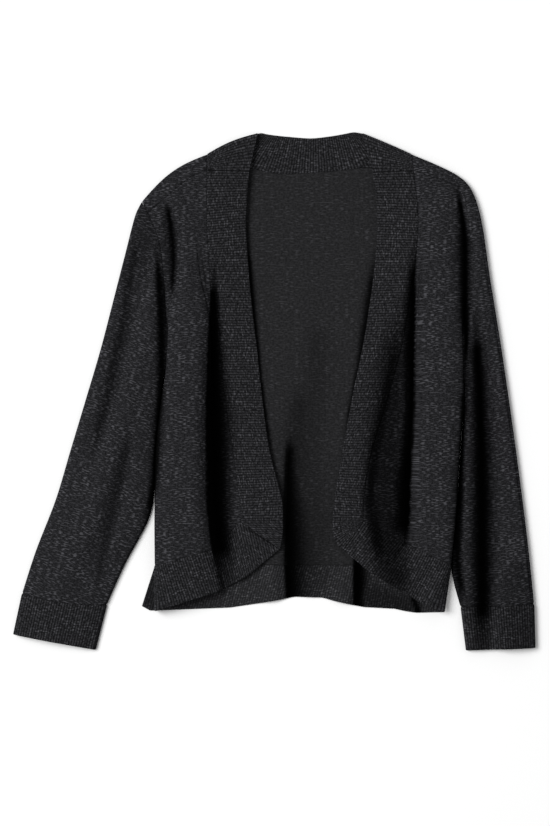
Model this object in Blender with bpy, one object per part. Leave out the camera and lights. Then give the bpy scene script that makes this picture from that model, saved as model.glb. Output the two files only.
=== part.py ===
"""A cropped open-front cardigan in fine knit, laid on its back with its sleeves down and its fronts a little open.

Lengths are in millimetres until an object is made, and +Z is up from the surface that the cardigan lies on. Plan
positions were measured on the photograph, which looks straight down, so tables hold them as pixels of it.
"""

from collections import namedtuple

import bpy
import numpy as np

# The photograph's scale: the cardigan measures 575 mm from neck point to hem.
BODY_LENGTH = 575.0
BODY_LENGTH_PIXELS = 479.2
MM_PER_PIXEL = BODY_LENGTH / BODY_LENGTH_PIXELS
PHOTO_CENTRE = (274.3, 390.9)

# The cloth
WALL = 2.0
SEAM_GAP = 0.4
RIB_PITCH = 6.2
RIB_HEIGHT = 0.6
COLOUR = (0.0145, 0.0145, 0.0160, 1.0)
ROUGHNESS = 0.95
METALLIC = 0.0
RESTING = WALL / 2  # height of the middle of a wall that lies on the surface
SHOULDER_RADIUS = 4.0  # the cloth folds over at the shoulder and at the sleeve's outer edge in this radius
UNDERARM_RADIUS = 2.0  # and at the sleeve's inner edge in this one
TIP_STRETCH = 1.5  # the armhole crosses that fold at a slant, so it turns over this many times the distance
ARMHOLE_EASE = 0.9  # the sleeve starts this far along its length from the armhole, which runs at a slant to it
NECK_EASE = 0.6  # the neck band's gap where it turns over the shoulder beside the back
SIDE_CLEARANCE = 2.6  # from the middle of the body's wall to the middle of the sleeve's beside it

# One row for each section across a front, from the shoulder seam to the hem's edge. Plan columns are pixels:
# y at the side, at the deep fold's inner edge, at the band's seam and at the free edge, then x at the side,
# at the big fold's outer and inner edges, where the front leaves the valley, at the seam and at the free edge.
# Height columns are millimetres: side, dip before the fold, fold, valley, seam and free edge.
FrontRow = namedtuple(
    "FrontRow",
    "y_side y_fold y_seam y_edge side fold_outer fold_inner valley seam edge"
    " z_side z_dip z_fold z_valley z_seam z_edge",
)
RIGHT_FRONT = (
    FrontRow(213, 178, 171, 172, 148.4, 163, 190, 199, 207, 249.3, 9.0, 9.5, 11, 11, 10.5, 9.5),
    FrontRow(240, 230, 226, 222, 158.8, 175, 194, 201, 207.4, 246, 9.0, 8.5, 14, 12, 11.5, 8.0),
    FrontRow(274, 274, 274, 274, 163.4, 178, 199, 205, 210, 249, 8.0, 8.0, 19, 14, 11, 7.0),
    FrontRow(312, 312, 312, 312, 166.6, 171.2, 207, 211.5, 213.7, 252.6, 7.0, 9.5, 22, 12, 9.0, 6.5),
    FrontRow(345, 345, 345, 345, 169.6, 169.0, 208.6, 215.5, 219.6, 256.6, 5.0, 11.0, 25, 6.5, 7.5, 6.5),
    FrontRow(396, 396, 396, 396, 162.0, 164.6, 207, 222.5, 225.2, 262, 3.4, 9.0, 26, 4.6, 7.5, 6.5),
    FrontRow(450, 450, 450, 450, 156.4, 160.2, 206.6, 229, 233, 269.6, 3.4, 9.0, 26, 4.4, 7.5, 7.5),
    FrontRow(505, 503, 500, 498, 154.8, 157, 208.2, 231, 239.6, 281.6, 3.4, 9.0, 25, 4.4, 8.5, 8.5),
    FrontRow(565, 549, 522, 522, 155, 157, 213, 231, 241, 283, 4.0, 9.0, 23, 4.6, 9.5, 8.5),
    FrontRow(610.5, 590, 575.5, 549, 155, 157, 221, 231, 247, 279.5, 4.2, 9.0, 20, 5.0, 8.0, 7.5),
)
LEFT_FRONT = (
    FrontRow(186.5, 177, 171.5, 173, 459.0, 451, 430, 421, 413.5, 372.4, 9.0, 9.5, 11, 11, 10.5, 9.5),
    FrontRow(212, 217, 218, 216, 467.4, 456, 428, 422, 417.8, 376.8, 9.0, 8.5, 16, 14, 11.5, 8.0),
    FrontRow(262, 262, 264, 264, 470.6, 457, 423, 419, 415, 374.8, 8.0, 6.5, 20, 14, 11, 7.0),
    FrontRow(306, 306, 307, 308, 466.0, 458.6, 419.6, 414, 408.8, 369, 6.5, 8.0, 23, 10, 9.0, 6.5),
    FrontRow(345, 345, 345, 345, 459.6, 460.6, 417.6, 407.4, 402, 363, 5.0, 11.0, 25, 6.0, 7.5, 6.5),
    FrontRow(396, 396, 396, 396, 463.6, 461, 416, 403.6, 388.6, 352.4, 3.4, 9.0, 26, 4.6, 6.5, 6.0),
    FrontRow(450, 450, 450, 450, 460.2, 457.4, 413.6, 401, 372, 342.6, 3.4, 9.0, 26, 4.4, 6.5, 6.0),
    FrontRow(505, 500, 495, 493, 456.6, 453.8, 413.2, 401, 364.4, 335.2, 3.4, 9.0, 25, 4.4, 7.5, 7.0),
    FrontRow(565, 545, 521, 521, 450.8, 448.6, 410, 400.5, 363.3, 332.4, 4.0, 9.0, 22, 5.0, 8.5, 8.0),
    FrontRow(611.6, 602, 572.5, 550, 444, 442, 420, 407, 371, 343, 4.2, 8.5, 17, 5.4, 8.5, 8.5),
)
# Where a front's free edge turns into its hem: the edge half way through the turn, in pixels
RIGHT_TURN = (282.3, 536)
LEFT_TURN = (333.8, 537.5)
UNDERARM_ROW = 4
HEM_ROW = 8
HEM_EDGE_ROW = 9

# The shoulder's fold, from the sleeve's head to the band's seam and to the band's free edge, in pixels, and how
# far the panel and the band bulge out from the straight lines between them
ShoulderFold = namedtuple("ShoulderFold", "tip seam edge panel_bulge band_bulge")
RIGHT_SHOULDER = ShoulderFold((142.4, 202.4), (207, 155.5), (258, 134.4), 6.6, 2.6)
LEFT_SHOULDER = ShoulderFold((452.0, 173.2), (411.5, 155.5), (362, 134.4), 0.5, 0.4)

# The neck band behind the neck: each row is a section across it, seam to free edge, in pixels.
NeckRow = namedtuple("NeckRow", "seam_x seam_y edge_x edge_y")
BACK_NECK = (
    NeckRow(*RIGHT_SHOULDER.seam, *RIGHT_SHOULDER.edge),
    NeckRow(222, 161, 262, 133.6),
    NeckRow(238, 165, 267, 134.4),
    NeckRow(256, 169.8, 275, 135.6),
    NeckRow(280, 174.2, 289, 137),
    NeckRow(310, 173, 311, 138.5),
    NeckRow(336, 171, 331, 136.4),
    NeckRow(357, 168.6, 345, 134),
    NeckRow(377, 166.4, 352.4, 132.6),
    NeckRow(395, 161.6, 357.8, 133.2),
    NeckRow(*LEFT_SHOULDER.seam, *LEFT_SHOULDER.edge),
)

# The back hem's edge from its right side to its left, in pixels
BACK_HEM_EDGE = (
    (142, 606), (150, 610.4), (173, 609.8), (200, 608.6), (230, 607.4), (257, 603.4), (282, 599.2), (294, 596.6),
    (322, 597.4), (335, 601), (352, 604.8), (364, 607), (394, 608.6), (406, 611.2), (416, 612.6), (444, 612),
)

# The soft folds that show on the inside of the back, each a ridge along the body: x and y at its upper and
# lower ends in pixels, its half width in pixels, and its heights at the two ends in millimetres.
BackFold = namedtuple("BackFold", "x_top y_top x_low y_low half_width z_top z_low")
BACK_FOLDS = (
    BackFold(271, 470, 273, 600, 13, 0.6, 4.6),
    BackFold(345, 548, 341, 604, 13, 0.5, 4.4),
    BackFold(306, 300, 312, 470, 11, 0.6, 1.8),
)

# One row for each section across a sleeve, from the armhole to the cuff: x and y at the outer and inner edges
# in pixels, the sleeve's height, and the depths of the two long troughs on it in millimetres.
SleeveRow = namedtuple("SleeveRow", "outer_x outer_y inner_x inner_y height trough_1 trough_2")
RIGHT_SLEEVE = (
    SleeveRow(136.6, 214, 175, 351, 11, 0.5, 0.0),
    SleeveRow(132.0, 230, 175, 358, 12, 2.0, 0.0),
    SleeveRow(127.0, 250, 175, 366, 13, 3.0, 0.0),
    SleeveRow(120.6, 275, 175, 376, 14, 4.0, 0.0),
    SleeveRow(114.2, 300, 175, 389, 14, 4.5, 0.0),
    SleeveRow(101.2, 350, 175, 420, 15, 5.0, 0.5),
    SleeveRow(86.4, 400, 175, 454, 16, 5.0, 2.0),
    SleeveRow(71.4, 450, 175, 488, 16, 3.0, 4.5),
    SleeveRow(56.4, 500, 148, 520, 16, 1.0, 5.0),
    SleeveRow(37.0, 550, 124.4, 565, 15, 0.5, 3.0),
    SleeveRow(23.0, 593, 106.6, 604.4, 14, 0.0, 1.0),
)
LEFT_SLEEVE = (
    SleeveRow(463.0, 180.8, 450, 350, 10, 0.0, 0.5),
    SleeveRow(471.0, 191, 450, 355, 10, 0.0, 1.0),
    SleeveRow(477.6, 208, 450, 361, 11, 0.0, 1.5),
    SleeveRow(482.2, 229, 450, 368, 12, 0.0, 2.0),
    SleeveRow(485.6, 252, 450, 377, 13, 0.0, 2.5),
    SleeveRow(489.6, 280, 450, 388, 14, 0.0, 3.5),
    SleeveRow(499.6, 342, 450, 418, 15, 1.0, 5.0),
    SleeveRow(507.6, 396, 450, 451, 16, 1.5, 6.5),
    SleeveRow(514.6, 446, 450, 488, 16, 1.0, 7.0),
    SleeveRow(521.2, 496, 450, 525, 16, 0.5, 7.0),
    SleeveRow(527.8, 550, 450, 566, 15, 0.5, 6.0),
    SleeveRow(533.2, 603.6, 460.6, 606.4, 14, 0.0, 5.0),
)
TROUGH_PLACES = (0.24, 0.64)  # across the sleeve, from its outer edge
TROUGH_WIDTH = 0.11
CuffEnd = namedtuple("CuffEnd", "outer_x outer_y inner_x inner_y")
RIGHT_CUFF_END = CuffEnd(14.2, 634, 95.2, 649.4)
LEFT_CUFF_END = CuffEnd(534.4, 647.4, 466, 650)

# Where the sections are read: places along the rows of a front's table, and along the 13 points of a section.
FOLD_TURNS = np.radians([0, 45, 90])
FRONT_ROWS = np.array([0, 0.5, 1, 1.5, 2, 2.5, 3, 3.5, 4, 4.5, 5, 6, 6.5, 7, 7.5, 8, 8.5, 9])
PANEL_PLACES = np.array([0, 1, 2, 2.5, 3, 4, 5, 5.5, 6, 6.5, 7, 8, 9, 10])
BAND_PLACES = np.array([11, 12])
SEAM_COLUMN = len(PANEL_PLACES) - 1
EDGE_COLUMN = SEAM_COLUMN + len(BAND_PLACES)
FOLD_ROWS = len(FOLD_TURNS)
BACK_ROWS = (0, 0.5, 1, 1.5, 2, 2.5, 3, 3.5, 4, 4.5, 5, 6, 6.5, 7, 7.5, 8)


def grid_row(table_row):
    """The row of a front's grid that lies on a row of its table."""
    return FOLD_ROWS + int(np.argmin(abs(FRONT_ROWS - table_row)))


def to_mm(x, y):
    """Plan position in millimetres of a pixel of the photograph."""
    x, y = np.asarray(x, float), np.asarray(y, float)
    return np.stack([(x - PHOTO_CENTRE[0]) * MM_PER_PIXEL, (PHOTO_CENTRE[1] - y) * MM_PER_PIXEL], axis=-1)


def smooth(rows, places):
    """A smooth (Catmull-Rom) curve through the rows, read at fractional row numbers."""
    rows = np.asarray(rows, float)
    last = len(rows) - 1
    start_row = np.clip(np.floor(places).astype(int), 0, last - 1)
    t = (np.asarray(places, float) - start_row).reshape((-1,) + (1,) * (rows.ndim - 1))
    before, start, end, after = (rows[np.clip(start_row + k, 0, last)] for k in (-1, 0, 1, 2))
    leave, arrive = (end - before) / 2, (after - start) / 2
    return (
        (2 * t**3 - 3 * t**2 + 1) * start
        + (t**3 - 2 * t**2 + t) * leave
        + (3 * t**2 - 2 * t**3) * end
        + (t**3 - t**2) * arrive
    )


def read_grid(grid, row_places, column_places):
    """Points of a grid at fractional rows and columns, along the straight lines between its own points."""
    row = np.clip(np.floor(row_places).astype(int), 0, grid.shape[0] - 2)
    column = np.clip(np.floor(column_places).astype(int), 0, grid.shape[1] - 2)
    a = (row_places - row)[..., None]
    b = (column_places - column)[..., None]
    near = grid[row, column] * (1 - b) + grid[row, column + 1] * b
    far = grid[row + 1, column] * (1 - b) + grid[row + 1, column + 1] * b
    return near * (1 - a) + far * a


def unit(vectors):
    return vectors / np.maximum(np.linalg.norm(vectors, axis=-1, keepdims=True), 1e-9)


def path_lengths(path):
    """Distance along a path to each of its points."""
    return np.concatenate([[0], np.cumsum(np.linalg.norm(np.diff(path, axis=0), axis=1))])


def grid_normals(points, side):
    """Unit normals of a grid; side is 1 or -1 and says which way they point."""
    return unit(np.cross(np.gradient(points, axis=0), np.gradient(points, axis=1))) * side


def ring_normals(points, side):
    """The same for a tube, whose columns close into a ring."""
    around = np.roll(points, -1, axis=1) - np.roll(points, 1, axis=1)
    return unit(np.cross(np.gradient(points, axis=0), around)) * side


def pull_in(points, edges, distance=SEAM_GAP / 2):
    """Move a grid's named edges in along the cloth, so that sewn pieces stay just apart."""
    points = points.copy()
    if "first row" in edges:
        points[0] += unit(points[1] - points[0]) * distance
    if "last row" in edges:
        points[-1] += unit(points[-2] - points[-1]) * distance
    if "first column" in edges:
        points[:, 0] += unit(points[:, 1] - points[:, 0]) * distance
    if "last column" in edges:
        points[:, -1] += unit(points[:, -2] - points[:, -1]) * distance
    return points


def ribs(points):
    """Heights that rise to a rib on every second row of a grid, less where the rows crowd together."""
    step = np.linalg.norm(np.gradient(points, axis=0), axis=-1)
    room = np.clip(step / (RIB_PITCH / 2) * 1.6 - 0.6, 0, 1)
    return RIB_HEIGHT * (np.arange(len(points)) % 2)[:, None] * room


def even_places(line, spacing, first=0.0, last=None):
    """Fractional places along a polyline that are an even distance apart, close to the spacing."""
    along = path_lengths(line)
    rows = np.arange(len(line))
    start = np.interp(first, rows, along)
    end = np.interp(len(line) - 1 if last is None else last, rows, along)
    count = 2 * round((end - start) / spacing / 2) + 1
    return np.interp(np.linspace(start, end, count), along, rows)


def cloth_material(name):
    material = bpy.data.materials.new(name)
    material.use_nodes = True
    shader = material.node_tree.nodes["Principled BSDF"]
    shader.inputs["Base Color"].default_value = COLOUR
    shader.inputs["Roughness"].default_value = ROUGHNESS
    shader.inputs["Metallic"].default_value = METALLIC
    return material


def cloth(name, middle, normals, outside=0.0, inside=0.0, ring=False, missing=None):
    """A closed wall round a grid of middle points. Relief outside and inside is added to the half wall; a ring
    joins its last column to its first; missing marks the grid's cells that are left out."""
    rows, columns = middle.shape[:2]
    half = WALL / 2
    outer = middle + normals * (half + np.broadcast_to(outside, (rows, columns)))[..., None]
    inner = middle - normals * (half + np.broadcast_to(inside, (rows, columns)))[..., None]
    vertices = np.concatenate([outer.reshape(-1, 3), inner.reshape(-1, 3)])
    index = np.arange(rows * columns).reshape(rows, columns)
    after = np.roll(index, -1, axis=1) if ring else index[:, 1:]
    here = index if ring else index[:, :-1]
    cells = np.stack([here[:-1], after[:-1], after[1:], here[1:]], axis=-1)
    if missing is not None:
        cells = cells[~missing]
    cells = cells.reshape(-1, 4)
    edges = np.concatenate([cells[:, [k, (k + 1) % 4]] for k in range(4)])
    used = {tuple(edge) for edge in edges}
    rim = np.array([edge for edge in edges if (edge[1], edge[0]) not in used])
    under = rows * columns
    faces = np.concatenate([
        cells,
        cells[:, ::-1] + under,
        np.stack([rim[:, 1], rim[:, 0], rim[:, 0] + under, rim[:, 1] + under], axis=1),
    ])
    first, second, third = (vertices[faces[:, k]] for k in (0, 1, 2))
    fourth = vertices[faces[:, 3]]
    volume = (np.cross(first, second) * third).sum() + (np.cross(first, third) * fourth).sum()
    if volume < 0:
        faces = faces[:, ::-1]
    kept, faces = np.unique(faces, return_inverse=True)
    mesh = bpy.data.meshes.new(name)
    mesh.from_pydata((vertices[kept] / 1000).tolist(), [], faces.reshape(-1, 4).tolist())
    mesh.materials.append(cloth_material(name + " knit"))
    mesh.shade_smooth()
    piece = bpy.data.objects.new(name, mesh)
    bpy.data.collections["cardigan"].objects.link(piece)
    return piece


def front_section(row):
    """The 13 points across a front in one section, from its side to its free edge."""
    fold = row.fold_inner - row.fold_outer
    valley = row.valley - row.fold_inner
    x = [
        row.side,
        (row.side + row.fold_outer) / 2,
        row.fold_outer,
        row.fold_outer + 0.2 * fold,
        row.fold_outer + 0.5 * fold,
        row.fold_outer + 0.8 * fold,
        row.fold_inner,
        row.fold_inner + 0.25 * valley,
        row.fold_inner + 0.7 * valley,
        row.valley,
        row.seam,
        (row.seam + row.edge) / 2,
        row.edge,
    ]
    y = np.interp(
        abs(np.array(x) - row.side),
        abs(np.array([row.side, row.fold_inner, row.seam, row.edge]) - row.side),
        [row.y_side, row.y_fold, row.y_seam, row.y_edge],
    )
    z = [
        row.z_side,
        row.z_dip,
        row.z_dip + 0.6 * (row.z_fold - row.z_dip),
        row.z_fold - 0.6,
        row.z_fold + 0.4,
        row.z_fold - 0.8,
        row.z_valley + 0.5 * (row.z_fold - row.z_valley),
        row.z_valley + 0.4,
        row.z_valley,
        row.z_valley + 0.55 * (row.z_seam - row.z_valley),
        row.z_seam,
        (row.z_seam + row.z_edge) / 2 + 0.8,
        row.z_edge,
    ]
    return np.column_stack([to_mm(x, y), z])


def front_grid(table, shoulder, turn_point):
    """The whole draped front, from the shoulder's fold to the hem's edge and from the side to the free edge."""
    places = np.concatenate([PANEL_PLACES, BAND_PLACES])
    sections = [smooth(front_section(row), places) for row in table]
    body = smooth(np.array(sections), FRONT_ROWS)
    hem, half_way, end = grid_row(HEM_ROW) - FOLD_ROWS, grid_row(HEM_ROW + 0.5) - FOLD_ROWS, len(body) - 1
    body[half_way] = (body[hem] + body[end]) / 2
    body[half_way, -2] = (body[hem, SEAM_COLUMN] + body[end, -1]) / 2
    body[half_way, -1, :2] = to_mm(*turn_point)
    tip, seam, edge = to_mm(*shoulder.tip), to_mm(*shoulder.seam), to_mm(*shoulder.edge)
    across = path_lengths(body[0, :, :2])
    panel_share = (across / across[SEAM_COLUMN])[: SEAM_COLUMN + 1, None]
    band_share = ((across - across[SEAM_COLUMN]) / (across[-1] - across[SEAM_COLUMN]))[SEAM_COLUMN + 1 :, None]
    crest = np.concatenate([tip + (seam - tip) * panel_share, seam + (edge - seam) * band_share])
    panel_bulge = shoulder.panel_bulge * np.sin(np.pi * panel_share)
    band_bulge = shoulder.band_bulge * np.sin(np.pi * band_share)
    crest += up_from_fold(shoulder) * np.concatenate([panel_bulge, band_bulge]) * MM_PER_PIXEL
    inward = unit(body[0, :, :2] - crest)
    inward[0] *= TIP_STRETCH
    rows = []
    for turn in FOLD_TURNS:
        plan = crest + inward * SHOULDER_RADIUS * (1 - np.cos(turn))
        height = RESTING + SHOULDER_RADIUS * (1 + np.sin(turn))
        rows.append(np.column_stack([plan, np.full(len(plan), height)]))
    return np.concatenate([np.array(rows), body])


def make_front(name, grid, side):
    """The panel, band and hem rib of one front, cut from its draped grid."""
    normals = grid_normals(grid, side)
    armhole_end = grid_row(UNDERARM_ROW)
    upright = np.array([0.0, 0.0, 1.0])
    normals[: armhole_end + 1, 0] = upright
    top, hem, end = grid_row(0), grid_row(HEM_ROW), grid_row(HEM_EDGE_ROW)
    rows, columns = slice(top, hem + 1), slice(0, SEAM_COLUMN + 1)
    panel = pull_in(grid[rows, columns], ("first row", "last row", "last column"))
    panel[: armhole_end - top + 1] = pull_in(panel[: armhole_end - top + 1], ("first column",))
    cloth(name + "_front", panel, normals[rows, columns])

    corner_cells = end - hem
    share = np.linspace(0, 1, 3)
    middle_column = (SEAM_COLUMN + EDGE_COLUMN) / 2
    down = np.linspace(top, end - 0.16, 400)
    centre = read_grid(grid, down, np.full(len(down), middle_column))
    down = np.interp(even_places(centre, RIB_PITCH / 2), np.arange(len(down)), down)
    inner_column = SEAM_COLUMN + np.clip(down - hem, 0, corner_cells)
    across = inner_column[:, None] + (EDGE_COLUMN - inner_column)[:, None] * share
    along = np.repeat(down[:, None], len(share), axis=1)
    band = pull_in(read_grid(grid, along, across), ("first row", "first column"))
    cloth(name + "_front_band", band, unit(read_grid(normals, along, across)), ribs(band))

    over = np.linspace(0, EDGE_COLUMN - 0.16, 400)
    edge_line = read_grid(grid, np.full(len(over), float(end) - 0.5), over)
    over = np.interp(even_places(edge_line, RIB_PITCH / 2), np.arange(len(over)), over)
    top_row = hem + np.clip(over - SEAM_COLUMN, 0, corner_cells)
    along = top_row + (end - top_row) * share[:, None]
    across = np.repeat(over[None], len(share), axis=0)
    hem_rib = pull_in(read_grid(grid, along, across), ("first row",))
    relief = ribs(hem_rib.swapaxes(0, 1)).T
    cloth(name + "_front_hem_rib", hem_rib, unit(read_grid(normals, along, across)), relief)


def back_height(points):
    """Height of the back's wall where it rests, with the soft folds that show between the fronts."""
    height = np.full(points.shape[:-1], RESTING)
    for fold in BACK_FOLDS:
        top, low = to_mm(fold.x_top, fold.y_top), to_mm(fold.x_low, fold.y_low)
        down = np.clip((top[1] - points[..., 1]) / (top[1] - low[1]), -0.3, 1)
        middle = top[0] + (low[0] - top[0]) * down
        off = (points[..., 0] - middle) / (fold.half_width * MM_PER_PIXEL)
        rise = np.interp(down, [-0.3, 0, 1], [0, fold.z_top, fold.z_low])
        height = height + rise * np.exp(-(off**2) * 1.6)
    return height


def neck_sections():
    """The neck band's sections behind the neck, seam to free edge, with a half section between most of them."""
    rows = np.array(BACK_NECK)
    places = np.array([0, *np.arange(1, len(rows) - 1.75, 0.5), len(rows) - 1])
    seam = smooth(to_mm(rows[:, 0], rows[:, 1]), places)
    edge = smooth(to_mm(rows[:, 2], rows[:, 3]), places)
    return seam, edge


def up_from_fold(shoulder):
    """Unit plan vector square to the shoulder's fold, away from the body."""
    along = unit(to_mm(*shoulder.edge) - to_mm(*shoulder.seam))
    return np.array([-along[1], along[0]]) * np.sign(along[0])


def fold_drop(points, shoulder):
    """How far a wall on the surface rises where it nears the shoulder's fold, as a part of a circle."""
    inside = np.clip((to_mm(*shoulder.seam) - points) @ up_from_fold(shoulder), 0, SHOULDER_RADIUS)
    return SHOULDER_RADIUS - np.sqrt(SHOULDER_RADIUS**2 - (SHOULDER_RADIUS - inside) ** 2)


def make_back(right, left):
    """The back, which rolls over the shoulders to the forward shoulder seams, and its hem rib."""
    seam, _ = neck_sections()
    inner = seam[1:-1]
    top = np.concatenate([right[0, : SEAM_COLUMN + 1, :2], inner, left[0, SEAM_COLUMN::-1, :2]])
    start, end = top[0], top[-1]
    share = (top[:, 0] - start[0]) / (end[0] - start[0])
    chord = start + (end - start) * share[:, None]
    neck = slice(SEAM_COLUMN + 1, SEAM_COLUMN + 1 + len(inner))
    table_rows = [grid_row(row) for row in BACK_ROWS]
    levels = [*range(FOLD_ROWS), *table_rows]
    underarm_y = right[grid_row(UNDERARM_ROW), 0, 1]
    rows = []
    for level in levels:
        first, last = right[level, 0, :2], left[level, 0, :2]
        line = first + (last - first) * share[:, None]
        hold = np.clip((first[1] - underarm_y) / (start[1] - underarm_y), 0, 1)
        plan = line + (top - chord) * hold
        rows.append(np.column_stack([plan, back_height(plan)]))
    grid = np.array(rows)
    for level, turn in enumerate(FOLD_TURNS):
        grid[level, :, 2] = RESTING + SHOULDER_RADIUS * (1 - np.sin(turn))
        for columns, front in ((slice(0, SEAM_COLUMN + 1), right), (slice(neck.stop, None), left[:, ::-1])):
            source = front[:, : SEAM_COLUMN + 1] if front is right else front[:, -SEAM_COLUMN - 1 :]
            grid[level, columns, :2] = source[level, :, :2]
        grid[level, neck, 2] = RESTING
    for shoulder, nearest in ((RIGHT_SHOULDER, neck.start), (LEFT_SHOULDER, neck.stop - 1)):
        grid[0, nearest, 2] = RESTING + fold_drop(grid[0, nearest, :2], shoulder)
    turned = []
    for level in range(grid_row(0), 0, -1):
        row = grid[0].copy()
        row[: SEAM_COLUMN + 1] = right[level, : SEAM_COLUMN + 1]
        row[neck.stop :] = left[level, SEAM_COLUMN::-1]
        turned.append(row)
    whole = np.concatenate([np.array(turned), grid])
    missing = np.zeros((whole.shape[0] - 1, whole.shape[1] - 1), bool)
    missing[: len(turned), SEAM_COLUMN : neck.stop] = True
    normals = np.zeros(whole.shape)
    for columns in (slice(0, neck.start), slice(neck.stop, None)):
        normals[:, columns] = grid_normals(whole[:, columns], 1)
        whole[: len(turned) + 1, columns] = pull_in(
            whole[: len(turned) + 1, columns], ("first row", "first column", "last column")
        )
    normals[len(turned) :, neck] = grid_normals(grid, 1)[:, neck]
    whole[len(turned), neck] += unit(grid[1, neck] - grid[0, neck]) * SEAM_GAP / 2
    whole = pull_in(whole, ("last row",))
    whole[len(turned) + 1 :] = pull_in(whole[len(turned) + 1 :], ("first column", "last column"))
    cloth("back", whole, normals, missing=missing)

    hem_top = grid[-1]
    edge = np.array(BACK_HEM_EDGE, float)
    edge_share = (edge[:, 0] - edge[0, 0]) / (edge[-1, 0] - edge[0, 0])
    top_share = (hem_top[:, 0] - hem_top[0, 0]) / (hem_top[-1, 0] - hem_top[0, 0])
    low = to_mm(np.interp(top_share, edge_share, edge[:, 0]), np.interp(top_share, edge_share, edge[:, 1]))
    strip = []
    for down in (0, 0.5, 1):
        plan = hem_top[:, :2] + (low - hem_top[:, :2]) * down
        strip.append(np.column_stack([plan, back_height(plan)]))
    strip = np.array(strip)
    places = even_places(strip[1], RIB_PITCH / 2)
    across = np.repeat(places[None], 3, axis=0)
    along = np.repeat(np.arange(3.0)[:, None], len(places), axis=1)
    strip_normals = grid_normals(strip, 1)
    strip_normals *= np.sign(strip_normals[..., 2:])
    hem_rib = pull_in(read_grid(strip, along, across), ("first row",))
    relief = ribs(hem_rib.swapaxes(0, 1)).T
    cloth("back_hem_rib", hem_rib, unit(read_grid(strip_normals, along, across)), relief)


def make_neck_band(right, left):
    """The band from one forward shoulder seam, over the shoulder and behind the neck, to the other."""
    seam, edge = neck_sections()
    share = np.linspace(0, 1, EDGE_COLUMN - SEAM_COLUMN + 1)[:, None]
    behind = []
    for inner, outer in zip(seam[1:-1], edge[1:-1]):
        plan = inner + (outer - inner) * share
        rise = fold_drop(plan, RIGHT_SHOULDER) + fold_drop(plan, LEFT_SHOULDER)
        behind.append(np.column_stack([plan, RESTING + rise]))
    top = grid_row(0)
    whole = np.concatenate([
        right[top::-1, SEAM_COLUMN:],
        np.array(behind),
        left[: top + 1, SEAM_COLUMN:],
    ])
    normals = grid_normals(whole, -1)
    for fold_row, shoulder in ((top, RIGHT_SHOULDER), (len(whole) - 1 - top, LEFT_SHOULDER)):
        normals[fold_row] = (*up_from_fold(shoulder), 0)
    rows = even_places(whole[:, 1], RIB_PITCH / 2)
    along = np.repeat(rows[:, None], len(share), axis=1)
    across = np.repeat(np.arange(float(len(share)))[None], len(rows), axis=0)
    band = pull_in(read_grid(whole, along, across), ("first row", "last row"))
    band = pull_in(band, ("first column",), NECK_EASE)
    band_normals = unit(read_grid(normals, along, across))
    in_front = ((rows < top) | (rows > len(whole) - 1 - top))[:, None]
    turning = np.clip(band[:, 0, 2] - RESTING, 0, 1) * ~in_front[:, 0]
    band[:, 0, 2] += NECK_EASE * turning
    relief = ribs(band)
    cloth("neck_band", band, band_normals, relief * in_front, relief * ~in_front)


def across_path(path):
    """Unit vectors square to a plan path at each of its points, to the left of its direction."""
    along = unit(np.gradient(path, axis=0))
    return np.column_stack([-along[:, 1], along[:, 0]])


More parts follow.
